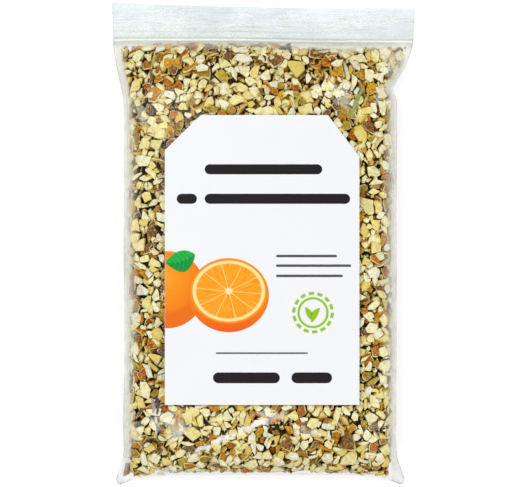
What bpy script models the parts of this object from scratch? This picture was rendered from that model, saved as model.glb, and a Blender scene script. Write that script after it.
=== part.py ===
"""A clear film bag of cut dried orange peel with a paper label, lying on its back.

Frame: metres, +Z up. The bag's length runs along Y with the empty header at +Y, its width along X, and
its front, with the label, faces +Z. The origin is the centre of the base of the whole object's box.
"""

import math

import bmesh
import bpy
from mathutils import Vector, noise

# Driving sizes of the bag.
FLAT_HALF_WIDTH = 0.0790  # half of the film tube's flat width, which the header keeps
HEADER_TAPER = 0.0008  # how far each side of the header draws in from its free edge down to the seal
FILLED_HALF_WIDTH = 0.0690  # half of the width once the peel has rounded the tube
FILLED_OFFSET = -0.0016  # the filled part sits a little to the left of the header
HEADER_TOP = 0.125  # Y of the header's upper left corner
SEAL_Y = 0.1053  # Y of the heat seal under the header
BASE_Y = -0.1215  # Y of the bottom seal at its middle
EAR_DROP = 0.0052  # how far the two bottom corners reach past that seal
EAR_HALF_WIDTH = 0.0760  # half of the width across those corners
EAR_ROUNDING = 0.0026  # how far the tips of the bottom corners are rounded off, across
HEADER_SLANT = 0.0032  # how much lower the header's right corner is than its left one
SEAL_SLANT = 0.0010  # how much the heat seal bends down towards the right

# Driving sizes of the filled part's section.
SEAM_HEIGHT = 0.0122  # height of the side seams above the ground
FRONT_RISE = 0.0142  # from the side seams up to the crown of the front
END_SEAM_HEIGHT = 0.0062  # height of the bottom seal
SEAL_HEIGHT = 0.0068  # height of the heat seal
HEADER_TIP_HEIGHT = 0.0026  # height of the header's free edge
FILM_THICKNESS = 0.0010  # both films together where they lie flat, with the air between them
SEAM_WIDTH = 0.0020  # how far the side seam stands out of the filled part
FRONT_SQUARENESS = 0.74  # exponent of the front's half section: 1 is an ellipse, less is boxier
BACK_SQUARENESS = 0.50
REST_SINK = 0.0020  # how much of the back is flattened by the ground

# Unevenness that the peel gives the film, and the header's waves.
LUMP_HEIGHT = 0.0007
LUMP_SPACING = 0.024
WAVE_HEIGHT = 0.0010
WAVE_LENGTH = 0.062

# Driving sizes of the label.
LABEL_LEFT = -0.0512
LABEL_RIGHT = 0.0498
LABEL_TOP = 0.0658
LABEL_BOTTOM = -0.0846
LEFT_CORNER_CUT = (0.0187, 0.0182)  # width and height of the corner that is cut off
RIGHT_CORNER_CUT = (0.0163, 0.0216)
LABEL_THICKNESS = 0.00035
LABEL_CLEARANCE = 0.00056  # gap to the film at the points of the label, which is less between them

# How finely the shapes are divided.
ARC_POINTS = 19
FILLED_ROWS = 34
END_ROWS = 6
HEADER_ROWS = 4
LABEL_COLUMNS = 14
LABEL_ROW_PITCH = 0.0085


def smooth_step(low, high, value):
    """0 below low, 1 above high and an S curve between them."""
    share = min(1.0, max(0.0, (value - low) / (high - low)))
    return share * share * (3 - 2 * share)


def mix(first, second, share):
    return first + (second - first) * share


def filled_share(y):
    """How full the bag is at y: 0 at the seals, and 1 where the peel fills the section."""
    base_round, top_round = 0.020, 0.031
    from_base = min(1.0, max(0.0, (y - BASE_Y) / base_round))
    from_seal = min(1.0, max(0.0, (SEAL_Y - y) / top_round))
    return (1 - (1 - from_base) ** 2.6) ** 0.55 * (1 - (1 - from_seal) ** 2.2) ** 0.75


def film_half_width(y, side):
    """Half of the film's width at y, on the left for side -1 and on the right, with a crease, for side 1."""
    shoulder_start, shoulder_end = (-0.027, 0.002) if side > 0 else (-0.038, -0.001)
    towards_header = smooth_step(SEAL_Y + shoulder_start, SEAL_Y + shoulder_end, y)
    towards_base = 1 - smooth_step(BASE_Y, BASE_Y + 0.013, y)
    flat = FLAT_HALF_WIDTH - HEADER_TAPER * (1 - smooth_step(SEAL_Y, HEADER_TOP, y))
    width = mix(FILLED_HALF_WIDTH + SEAM_WIDTH, flat, towards_header)
    width = mix(width, EAR_HALF_WIDTH, towards_base ** 1.2)
    width -= EAR_ROUNDING * max(0.0, 1 - (y - BASE_Y) / 0.0030) ** 2
    crease_y, crease_depth, crease_spread = 0.0811, 0.0032, 0.0044
    if side > 0:
        width -= crease_depth * math.exp(-(((y - crease_y) / crease_spread) ** 2))
    within = smooth_step(BASE_Y, BASE_Y + 0.02, y) * (1 - smooth_step(SEAL_Y - 0.03, SEAL_Y, y))
    return width + 0.0006 * within * noise.noise(Vector((3.7 * side, y / 0.03, 0.4)))


def peel_half_width(y, side):
    """Half of the width of the rounded part, inside the flat seams and the bottom corners."""
    reach = film_half_width(y, side) - SEAM_WIDTH
    near_base = FILLED_HALF_WIDTH - 0.0012 * (1 - smooth_step(BASE_Y, BASE_Y + 0.010, y))
    shoulder = 0.030 if side > 0 else 0.038
    near_seal = mix(near_base, FLAT_HALF_WIDTH - 0.0034, smooth_step(SEAL_Y - shoulder, SEAL_Y, y))
    return min(reach, near_seal)


def middle_x(y):
    """X of the bag's middle line: the filled part's offset, and none at the header."""
    return FILLED_OFFSET * (1 - smooth_step(SEAL_Y - 0.045, SEAL_Y, y))


def seam_height(y):
    """Height of the side seams, and past the seals of the flat film."""
    height = mix(END_SEAM_HEIGHT, SEAM_HEIGHT, smooth_step(BASE_Y, BASE_Y + 0.030, y))
    height = mix(height, SEAL_HEIGHT, smooth_step(SEAL_Y - 0.040, SEAL_Y, y))
    return mix(height, HEADER_TIP_HEIGHT, smooth_step(SEAL_Y - 0.002, HEADER_TOP, y))


def film_wave(x, y):
    """The slow waves of the header's free film, and the droop of the bottom corners."""
    in_header = smooth_step(SEAL_Y, HEADER_TOP, y)
    wave = WAVE_HEIGHT * in_header * math.sin(2 * math.pi * x / WAVE_LENGTH + 0.8)
    near_base = 1 - smooth_step(BASE_Y, BASE_Y + 0.012, y)
    outside = smooth_step(FILLED_HALF_WIDTH - 0.006, EAR_HALF_WIDTH, abs(x - FILLED_OFFSET))
    return wave - 0.0030 * near_base * outside


def arc_height(across, squareness):
    """Height, from 0 to 1, of the half section at across, from -1 at one seam to 1 at the other."""
    cosine = min(1.0, abs(across)) ** (1 / squareness)
    return max(0.0, 1 - cosine * cosine) ** (squareness / 2)


def lumps(x, y, seed):
    """Unevenness from the peel, in metres."""
    return LUMP_HEIGHT * noise.noise(Vector((x / LUMP_SPACING, y / LUMP_SPACING, seed)))


def across_at(x, y):
    """Where x lies in the rounded section at y, from -1 to 1."""
    offset = x - middle_x(y)
    return offset / peel_half_width(y, math.copysign(1, offset))


def front_height(x, y):
    """Height of the bag's front at x, y."""
    arc = arc_height(across_at(x, y), FRONT_SQUARENESS) * filled_share(y)
    flat = seam_height(y) + film_wave(x, y) + FILM_THICKNESS / 2
    return flat + arc * (FRONT_RISE + lumps(x, y, 1.3))


def back_height(x, y):
    """Height of the bag's back at x, y, flattened where it rests on the ground."""
    arc = arc_height(across_at(x, y), BACK_SQUARENESS) * filled_share(y)
    flat = seam_height(y) + film_wave(x, y) - FILM_THICKNESS / 2
    return max(0.0, flat - arc * (seam_height(y) + REST_SINK))


def end_shift(across, y):
    """How far a point of a row is moved along Y, for the bottom corners and the slant of the header."""
    base = -EAR_DROP * abs(across) ** 7
    from_left = (across + 1) / 2
    seal = -SEAL_SLANT * from_left**3
    free_edge = -HEADER_SLANT * (1 - (1 - from_left) ** 2.5)
    top = mix(seal, free_edge, smooth_step(SEAL_Y, HEADER_TOP, y))
    near_base = 1 - smooth_step(BASE_Y, BASE_Y + 0.014, y)
    near_top = smooth_step(SEAL_Y - 0.030, SEAL_Y, y)
    return base * near_base + top * near_top


def section(y):
    """One closed ring of the bag's surface at y, from the right seam over the front and back underneath."""
    middle = middle_x(y)
    angles = [math.pi * (i + 0.5) / ARC_POINTS for i in range(ARC_POINTS)]
    spread = [math.copysign(abs(math.cos(a)) ** 0.85, math.cos(a)) for a in angles]
    right, left = film_half_width(y, 1), film_half_width(y, -1)
    stations = [right, peel_half_width(y, 1)]
    stations += [c * peel_half_width(y, math.copysign(1, c)) for c in spread]
    stations += [-peel_half_width(y, -1), -left]
    front, back = [], []
    for offset in stations:
        x = middle + offset
        across = offset / (right if offset > 0 else left)
        moved = y + end_shift(across, y)
        front.append(Vector((x, moved, front_height(x, y))))
        back.append(Vector((x, moved, back_height(x, y))))
    return front + back[::-1]


def rows():
    """Y of every ring, closer together at the rounded ends."""
    base_end, top_start = BASE_Y + 0.018, SEAL_Y - 0.026
    ys = [BASE_Y + (base_end - BASE_Y) * (i / END_ROWS) ** 1.7 for i in range(END_ROWS)]
    filled = FILLED_ROWS - 1
    ys += [mix(base_end, top_start, i / filled) for i in range(filled)]
    ys += [mix(top_start, SEAL_Y, 1 - (1 - i / END_ROWS) ** 1.5) for i in range(END_ROWS)]
    return ys + [mix(SEAL_Y, HEADER_TOP, i / HEADER_ROWS) for i in range(HEADER_ROWS + 1)]


def make_object(name, shell, material):
    """A named object from a closed bmesh, shaded smooth but for its sharp edges."""
    bmesh.ops.recalc_face_normals(shell, faces=shell.faces)
    mesh = bpy.data.meshes.new(name)
    shell.to_mesh(mesh)
    shell.free()
    mesh.shade_smooth()
    mesh.set_sharp_from_angle(angle=math.radians(50))
    mesh.materials.append(material)
    made = bpy.data.objects.new(name, mesh)
    bpy.context.scene.collection.objects.link(made)
    return made


def finish(name, colour, roughness, coat=0.0):
    """A Principled material."""
    material = bpy.data.materials.new(name)
    material.use_nodes = True
    shader = material.node_tree.nodes["Principled BSDF"]
    shader.inputs["Base Color"].default_value = (*colour, 1.0)
    shader.inputs["Roughness"].default_value = roughness
    shader.inputs["Metallic"].default_value = 0.0
    shader.inputs["Coat Weight"].default_value = coat
    return material


def make_bag():
    """The sealed bag, solid out to its film: rings bridged from the bottom seal to the header's free edge."""
    shell = bmesh.new()
    rings = [[shell.verts.new(point) for point in section(y)] for y in rows()]
    for lower, upper in zip(rings, rings[1:]):
        for i in range(len(lower)):
            after = (i + 1) % len(lower)
            shell.faces.new((lower[i], lower[after], upper[after], upper[i]))
    for ring in (rings[0], rings[-1]):
        half = len(ring) // 2
        for i in range(half - 1):
            shell.faces.new((ring[i], ring[i + 1], ring[-2 - i], ring[-1 - i]))
    return make_object("bag", shell, finish("dried_peel", (0.66, 0.55, 0.28), 0.35, coat=0.6))


def label_side(y, edge, cut):
    """X of the label's left or right side at y, which moves inwards along the cut corner."""
    width, height = cut
    share = max(0.0, (y - (LABEL_TOP - height)) / height)
    return edge - math.copysign(width, edge) * share


def label_rows():
    """Y of the label's rows, with one where each corner cut begins."""
    breaks = [LABEL_BOTTOM, LABEL_TOP - RIGHT_CORNER_CUT[1], LABEL_TOP - LEFT_CORNER_CUT[1], LABEL_TOP]
    ys = []
    for start, end in zip(breaks, breaks[1:]):
        count = max(1, round((end - start) / LABEL_ROW_PITCH))
        ys += [mix(start, end, i / count) for i in range(count)]
    return ys + [LABEL_TOP]


def make_label():
    """The paper label, which follows the bag's front."""
    shell = bmesh.new()
    layers = []
    for height in (LABEL_CLEARANCE, LABEL_CLEARANCE + LABEL_THICKNESS):
        grid = []
        for y in label_rows():
            left = label_side(y, LABEL_LEFT, LEFT_CORNER_CUT)
            right = label_side(y, LABEL_RIGHT, RIGHT_CORNER_CUT)
            xs = [mix(left, right, i / LABEL_COLUMNS) for i in range(LABEL_COLUMNS + 1)]
            grid.append([shell.verts.new((x, y, front_height(x, y) + height)) for x in xs])
        layers.append(grid)
    under, over = layers
    for grid in layers:
        for low, high in zip(grid, grid[1:]):
            for i in range(LABEL_COLUMNS):
                shell.faces.new((low[i], low[i + 1], high[i + 1], high[i]))
    for lower, upper in ((under[0], over[0]), (under[-1], over[-1])):
        for i in range(LABEL_COLUMNS):
            shell.faces.new((lower[i], lower[i + 1], upper[i + 1], upper[i]))
    for column in (0, LABEL_COLUMNS):
        for i in range(len(under) - 1):
            corners = (under[i], under[i + 1], over[i + 1], over[i])
            shell.faces.new([row[column] for row in corners])
    return make_object("label", shell, finish("label_paper", (0.90, 0.91, 0.94), 0.6))


def centre_on_origin(made):
    """Moves the meshes so that the origin is the centre of the base of their common box."""
    corners = [v.co for obj in made for v in obj.data.vertices]
    low = [min(c[axis] for c in corners) for axis in range(3)]
    high = [max(c[axis] for c in corners) for axis in range(3)]
    base = Vector(((low[0] + high[0]) / 2, (low[1] + high[1]) / 2, low[2]))
    for obj in made:
        for vertex in obj.data.vertices:
            vertex.co -= base


for old in list(bpy.data.objects):
    bpy.data.objects.remove(old)
centre_on_origin([make_bag(), make_label()])
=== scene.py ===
"""Looks of the bag of dried orange peel: clear film, loose cut peel over a core, a printed paper label.

The bag lies on its back as the CAD model does. Cut flakes of peel are packed inside the CAD node's surface by
a small relaxation, crumbs fill the gaps that they leave, and the film and the label then settle onto them.
"""

import math

import bpy
import numpy as np
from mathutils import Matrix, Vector
from mathutils.bvhtree import BVHTree


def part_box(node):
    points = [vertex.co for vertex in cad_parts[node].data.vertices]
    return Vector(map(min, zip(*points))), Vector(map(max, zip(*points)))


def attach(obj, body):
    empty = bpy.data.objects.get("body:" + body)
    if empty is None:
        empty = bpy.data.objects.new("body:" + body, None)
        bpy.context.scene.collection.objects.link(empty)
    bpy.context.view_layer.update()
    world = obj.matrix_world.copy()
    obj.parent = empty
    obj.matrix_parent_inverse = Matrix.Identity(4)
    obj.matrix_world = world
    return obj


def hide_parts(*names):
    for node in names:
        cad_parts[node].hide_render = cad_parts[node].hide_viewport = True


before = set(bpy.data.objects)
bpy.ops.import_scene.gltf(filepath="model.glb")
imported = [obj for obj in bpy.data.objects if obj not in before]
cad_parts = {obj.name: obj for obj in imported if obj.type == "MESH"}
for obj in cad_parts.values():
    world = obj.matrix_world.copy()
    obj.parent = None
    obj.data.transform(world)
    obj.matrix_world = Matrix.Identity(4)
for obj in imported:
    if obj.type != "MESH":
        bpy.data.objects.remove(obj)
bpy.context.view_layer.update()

# All lengths are in metres. Places on the bag:
BAG_LOW, BAG_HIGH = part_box("bag")
LABEL_LOW, LABEL_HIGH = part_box("label")
HEADER_LENGTH = 0.0197  # from the heat seal to the header's free edge, at the left
SEAL_SLANT = 0.0009  # how much lower the seal is towards the right
SEAL_Y = BAG_HIGH.y - HEADER_LENGTH

# The cut peel. Lengths and widths are half sizes.
FLAKES = 5250
FLAKE_LENGTH, LENGTH_SPREAD = 0.0036, 0.29  # the usual one, and the spread of its logarithm
FLAKE_SHORTEST, FLAKE_LONGEST = 0.0015, 0.0060
STRIP_SHARE = 0.24  # share of the flakes that are narrow strips
STRIP_WIDTHS, FLAKE_WIDTHS = (0.28, 0.46), (0.55, 0.97)  # as shares of the length
THICKNESSES, THICKNESS_POWER = (0.0010, 0.0018), 0.35  # at the usual length, and how it grows with the length
CURL_MOST = 150.0  # curvature of most flakes, in 1/m
CUP_SHARE, CUP_CURL, CUP_SLOPE = 0.24, 2.4, 1.0  # share of cupped flakes, their extra curl, their rim's slope
CROSS_CURL = 0.30  # how far a flake curls across its length, as a share of its curl along it
CRUMB_TRIES = 34000
CRUMB_LEAST, CRUMB_MOST = 0.0006, 0.0016  # radii of the gaps that crumbs fill
CRUMB_LENGTH, CRUMB_WIDTHS, CRUMB_THICKNESSES = 1.5, (0.8, 1.3), (0.9, 1.5)  # by the gap's radius
CRUMB_SPACING = 0.85  # how near two crumbs may come, by the sum of their radii

# How the peel is packed.
QUICK_STEPS, FULL_STEPS = 30, 130
START_SIZE, GROWTH = 0.6, 0.8  # the flakes start small, and grow until they are whole
STEPS_PER_SEARCH, SEARCH_REACH = 4, 2.3  # steps between searches for neighbours, and their reach in radii
PRESS, PRESSED_SHARE = 0.00005, 0.85  # how far a step presses the peel outwards, and the share that do
INNER_BALLS, OUTER_BALLS = 4, 7  # balls that stand for a flake, besides the one in its middle
SHELL = 0.0056  # depth of the layer of loose peel under the film
PEEL_FROM = 0.0008  # the least depth at which a flake's middle starts
DEEP_FLAKES, DEEP_LEAN = 1300, 0.35  # flakes that lie on the core, and how far they lean
DEEP_LAYER = (SHELL - 0.0022, SHELL - 0.0008)
CRUMB_LAYER = (0.0006, 0.0046)
PITH_OUT_SHARE = 0.68  # share of the flakes whose pale side faces the film
TILT_AT_FILM, TILT_DEEP = 0.34, 0.85  # how far the flakes lean at first
FILM_GAP = 0.0003  # the least depth of the peel under the CAD surface
GAP_SPREAD = 0.0006  # how much deeper some of the outermost flakes lie
DENT_SHARE = 0.4  # how far a flake that would touch the film moves in before it is pressed flat
FINE_DEPTH = 0.0026  # flakes whose middle lies deeper are made more coarsely
# Under the label no peel is made further in than this, apart from flakes less deep, on which the film rests.
FLAKE_HIDDEN, DEEP_HIDDEN, CRUMB_HIDDEN = 0.006, 0.004, 0.003
HIDDEN_DEPTH, HIDDEN_BELOW_TOP = 0.4 * SHELL, 0.020

# How nooks that get painted shade are found: the reach, number and tilt of the rays towards the film.
NOOK_REACH, NOOK_RAYS, NOOK_TILT = 0.0030, 6, 0.9
NOOK_FROM, NOOK_DEPTH = 0.0012, 0.0040  # from where depth counts, and below where everything is a nook
BLOCKED_WEIGHT, DEEP_WEIGHT = 0.85, 0.75  # how much of the light blocked rays and depth take

FIELD_STEP = 0.0015  # grid of the distance field
LEFT_MARGIN, RIGHT_MARGIN = 0.0015, 0.0018  # how far the peel keeps from the sides
NEAR_SEAL, LEFT_EASED, RIGHT_EASED = (0.004, 0.020), 0.6, 0.3  # near the seal it keeps less, by these shares
# How far it keeps from the heat seal and from the base, at places across.
SEAL_MARGINS = (
    (-0.070, 0.0026), (-0.062, 0.0018), (-0.057, 0.0), (-0.020, 0.0004), (0.008, 0.0008), (0.020, 0.0026),
    (0.042, 0.0030), (0.050, 0.0018), (0.070, 0.0018),
)
BASE_MARGINS = (
    (-0.070, 0.0), (-0.061, 0.0004), (-0.053, 0.0022), (-0.046, 0.0004), (0.014, 0.0006), (0.021, 0.0018),
    (0.028, 0.0004), (0.070, 0.0),
)

# The film.
FILM_COLUMNS, FILM_ROWS, HEADER_ROWS = 144, 190, 44
FILM_LIFT, FILM_SLACK = 0.00006, 0.0004  # its gap over the peel, and how far the peel may push it out
FILM_SINK, FILM_ROUNDS = 0.0016, 50  # how far it may sink under the CAD surface, and in how many rounds
SIDE_CLOSED = 0.0015  # how near to the sides the front and the back start to close
SEAL_HELD = 0.001  # how near to the seal it lies as the CAD has it
RIPPLES, RIPPLE_SIZE = 26, 0.0022  # patches of ripples in the header, and a factor for their height
EDGE_VEIL, SEAL_VEIL = 0.55, 0.56  # how milky it is along both sides and just under the seal
EDGE_FADE, SEAL_FADE = (0.0030, 0.0086), (0.0022, 0.0062)  # where these fade out, from the side and the seal
ENDS_EASED, ENDS_FROM = 0.0026, (0.040, 0.080)  # how much narrower both sides' veil is near the bag's ends
OFF_PEEL = (0.0016, 0.0036)  # how far off the peel the film turns milky

# The label.
LEFT_CUT, RIGHT_CUT = (0.0187, 0.0182), (0.0163, 0.0216)  # width and height of the cut corners
PAPER_ROWS, PAPER_COLUMNS = 108, 72
PAPER_THICKNESS, PAPER_GAP = 0.00012, 0.00005
PAPER_START, PAPER_ROUNDS = 0.0008, 140  # how high over the film it starts, and how many rounds it settles
PRINT_LIFT = 0.00005  # how far the print lies above the paper, so that the two never touch

# The camera.
CAMERA_HEIGHT = 4.0
CAMERA_X, CAMERA_Y = -0.0018, 0.0
VIEW_WIDTH = 0.2698  # width of the picture at the label
SENSOR = 36.0

rng = np.random.default_rng(23)


# ---------------------------------------------------------------- helpers


def colour_of(value):
    """Linear colour from a grey as one number, an 8-bit sRGB colour as three, or a linear one as four."""
    if isinstance(value, (int, float)):
        return (value, value, value, 1.0)
    if len(value) == 4:
        return value
    values = np.array(value) / 255
    low = values / 12.92
    high = ((values + 0.055) / 1.055) ** 2.4
    return (*np.where(values <= 0.04045, low, high), 1.0)


def smooth_step(low, high, value):
    share = np.clip((value - low) / (high - low), 0, 1)
    return share * share * (3 - 2 * share)


def mesh_arrays(obj):
    """Vertices as an array and faces as tuples."""
    points = np.empty(len(obj.data.vertices) * 3)
    obj.data.vertices.foreach_get("co", points)
    return points.reshape(-1, 3), [tuple(p.vertices) for p in obj.data.polygons]


def link_new(name, data):
    """A new object in the scene."""
    made = bpy.data.objects.new(name, data)
    bpy.context.scene.collection.objects.link(made)
    return made


def make_piece(name, points, faces, material, sharp_angle=None):
    """A mesh object that rides with the bag."""
    mesh = bpy.data.meshes.new(name)
    mesh.vertices.add(len(points))
    mesh.vertices.foreach_set("co", np.asarray(points, np.float32).ravel())
    faces = np.asarray(faces, np.int32)
    mesh.loops.add(faces.size)
    mesh.loops.foreach_set("vertex_index", faces.ravel())
    mesh.polygons.add(len(faces))
    mesh.polygons.foreach_set("loop_start", np.arange(len(faces), dtype=np.int32) * faces.shape[1])
    mesh.update(calc_edges=True)
    mesh.validate()
    mesh.shade_smooth()
    if sharp_angle is not None:
        mesh.set_sharp_from_angle(angle=math.radians(sharp_angle))
    mesh.materials.append(material)
    piece = link_new(name, mesh)
    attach(piece, "root")
    return piece


def add_attribute(piece, name, values):
    """One number, or one vector, for each vertex."""
    values = np.asarray(values, np.float32)
    if values.ndim == 1:
        piece.data.attributes.new(name, "FLOAT", "POINT").data.foreach_set("value", values)
    else:
        made = piece.data.attributes.new(name, "FLOAT_VECTOR", "POINT")
        made.data.foreach_set("vector", values.ravel())


def grid_faces(index, turned=False):
    """Quads between the rows and columns of a grid of vertex numbers."""
    a, b, c, d = index[:-1, :-1], index[:-1, 1:], index[1:, 1:], index[1:, :-1]
    corners = (a, d, c, b) if turned else (a, b, c, d)
    return np.stack([k.ravel() for k in corners], -1)


def numbered(rows, columns):
    """A grid of vertex numbers."""
    return np.arange(rows * columns).reshape(rows, columns)


def closed(index):
    """A grid of vertex numbers whose last column is its first one again."""
    return np.concatenate([index, index[:, :1]], 1)


def tree_of(parts):
    """A search tree of pairs of points and faces."""
    points, faces = [], []
    for own_points, own_faces in parts:
        faces += (own_faces + len(points)).tolist()
        points += own_points.tolist()
    return BVHTree.FromPolygons(points, faces)


def drop(tree, x, y, way=-1):
    """Height at which a vertical ray from far above, or with way 1 from far below, meets a surface."""
    hit = tree.ray_cast(Vector((x, y, -way)), Vector((0, 0, way)))[0]
    return None if hit is None else hit.z


def unit(vectors, least=0.0):
    """Vectors made 1 long."""
    return vectors / (np.linalg.norm(vectors, axis=1, keepdims=True) + least)


class Nodes:
    """A material's nodes, made and linked one by one. Colours are given as colour_of takes them."""

    def __init__(self, name):
        self.material = bpy.data.materials.new(name)
        self.material.use_nodes = True
        self.tree = self.material.node_tree
        self.tree.nodes.clear()
        self.output = self.tree.nodes.new("ShaderNodeOutputMaterial")

    def add(self, kind, settings=None, **inputs):
        """A node. Inputs are values or other nodes' sockets, by name, with _ for a space."""
        node = self.tree.nodes.new("ShaderNode" + kind)
        for key, value in (settings or {}).items():
            setattr(node, key, value)
        for key, value in inputs.items():
            self.put(node, key.replace("_", " "), value)
        return node

    def put(self, node, key, value):
        socket = node.inputs[key]
        if isinstance(value, bpy.types.NodeSocket):
            self.tree.links.new(value, socket)
        else:
            socket.default_value = colour_of(value) if socket.type == "RGBA" else value

    def number(self, operation, *values, clamp=False):
        node = self.tree.nodes.new("ShaderNodeMath")
        node.operation = operation
        node.use_clamp = clamp
        for i, value in enumerate(values):
            self.put(node, i, value)
        return node.outputs[0]

    def times(self, first, second):
        return self.number("MULTIPLY", first, second)

    def plus(self, first, second, clamp=False):
        return self.number("ADD", first, second, clamp=clamp)

    def scaled(self, value, factor, offset, clamp=False):
        return self.number("MULTIPLY_ADD", value, factor, offset, clamp=clamp)

    def away(self, x, y):
        """The square of the distance from the middle."""
        return self.plus(self.times(x, x), self.times(y, y))

    def blend(self, share, first, second, kind="MIX"):
        """A mix of two colours."""
        node = self.tree.nodes.new("ShaderNodeMix")
        node.data_type = "RGBA"
        node.blend_type = kind
        for key, value in ((0, share), (6, first), (7, second)):
            self.put(node, key, value)
        return node.outputs[2]

    def multiplied(self, colour, factors):
        for factor in factors:
            colour = self.blend(1.0, colour, factor, "MULTIPLY")
        return colour

    def noise(self, scale, detail=3.0, vector=None, rough=0.5):
        node = self.add("TexNoise", Scale=scale, Detail=detail, Roughness=rough)
        if vector is not None:
            self.put(node, "Vector", vector)
        return node.outputs["Fac"]

    def ramp(self, factor, stops, interpolation="LINEAR"):
        """A colour or a number that changes with a factor. Stops are pairs of a place and a colour."""
        node = self.tree.nodes.new("ShaderNodeValToRGB")
        node.color_ramp.interpolation = interpolation
        elements = node.color_ramp.elements
        while len(elements) < len(stops):
            elements.new(0.5)
        for element, (place, colour) in zip(elements, stops):
            element.position = place
            element.color = colour_of(colour)
        self.put(node, 0, factor)
        return node.outputs[0]

    def rise(self, factor, low, high):
        """A share that is 0 at the first place and 1 at the second, which may lie on either side of it."""
        stops = [(low, 0.0), (high, 1.0)] if low < high else [(high, 1.0), (low, 0.0)]
        return self.ramp(factor, stops)

    def attribute(self, name, output="Fac"):
        return self.add("Attribute", {"attribute_name": name}).outputs[output]

    def split(self, vector):
        """A vector's three numbers."""
        return self.add("SeparateXYZ", Vector=vector).outputs

    def place(self):
        return self.add("TexCoord").outputs["Object"]

    def bump(self, strength, distance, height):
        return self.add("Bump", Strength=strength, Distance=distance, Height=height).outputs[0]

    def surface(self, colour, roughness, specular=None, normal=None):
        """A principled shader."""
        shader = self.add("BsdfPrincipled", Base_Color=colour, Roughness=roughness)
        if normal is not None:
            self.put(shader, "Normal", normal)
        if specular is not None:
            shader.inputs["Specular IOR Level"].default_value = specular
        return shader

    def mix_shaders(self, share, first, second):
        node = self.add("MixShader", Fac=share)
        self.put(node, 1, first.outputs[0])
        self.put(node, 2, second.outputs[0])
        return node

    def finish(self, shader):
        self.tree.links.new(shader.outputs[0], self.output.inputs[0])
        return self.material


# ---------------------------------------------------------------- the CAD bag's shape

BAG_POINTS, BAG_FACES = mesh_arrays(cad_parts["bag"])
BAG_TREE = BVHTree.FromPolygons(BAG_POINTS.tolist(), BAG_FACES)
BAG_EDGES = np.unique(
    np.sort([(f[i], f[i - 1]) for f in BAG_FACES for i in range(len(f))], axis=1), axis=0
)


def outline_point(axis, value, side):
    """The outermost point of the bag's plan where one axis has that value. side is -1 or 1."""
    a, b = BAG_POINTS[BAG_EDGES[:, 0]], BAG_POINTS[BAG_EDGES[:, 1]]
    da, db = a[:, axis] - value, b[:, axis] - value
    cut = (da < 0) != (db < 0)
    met = (a + (b - a) * (da / np.where(cut, da - db, 1))[:, None])[cut]
    reach = met[:, 1 - axis] * side
    return met[reach > reach.max() - 1e-5].mean(0)


def corner(across, along):
    """The bag's plan corner in that direction."""
    reach = BAG_POINTS[:, 0] * across + BAG_POINTS[:, 1] * along
    return BAG_POINTS[reach > reach.max() - 1e-5].mean(0)


def side_curve(start, end, axis, side, shares):
    """Points of the plan's outline from one corner to the next."""
    inner = [outline_point(axis, start[axis] + (end[axis] - start[axis]) * s, side) for s in shares[1:-1]]
    return np.array([start, *inner, end])


def film_plan():
    """A grid of points over the bag's plan, in rows from the base to the header's free edge."""
    even = np.linspace(0, 1, FILM_COLUMNS + 1)
    across = 0.55 * even + 0.45 * (0.5 - 0.5 * np.cos(math.pi * even))
    seal_share = 1 - HEADER_LENGTH / (BAG_HIGH.y - BAG_LOW.y)
    pouch = np.linspace(0, seal_share, FILM_ROWS, endpoint=False)
    along = np.concatenate([pouch, np.linspace(seal_share, 1, HEADER_ROWS + 1)])
    left_base, right_base, left_top, right_top = corner(-1, -1), corner(1, -1), corner(-1, 1), corner(1, 1)
    base = side_curve(left_base, right_base, 0, -1, across)[None]
    top = side_curve(left_top, right_top, 0, 1, across)[None]
    left = side_curve(left_base, left_top, 1, -1, along)[:, None]
    right = side_curve(right_base, right_top, 1, 1, along)[:, None]
    u, v = across[None, :, None], along[:, None, None]
    corners = (
        (1 - u) * (1 - v) * left_base + u * (1 - v) * right_base + (1 - u) * v * left_top + u * v * right_top
    )
    return (1 - v) * base + v * top + (1 - u) * left + u * right - corners


def seal_height_at(x):
    """Y of the heat seal at x: it bends down towards the right."""
    share = (x - BAG_LOW.x) / (BAG_HIGH.x - BAG_LOW.x)
    return SEAL_Y - SEAL_SLANT * smooth_step(0.35, 0.75, share)


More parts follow.
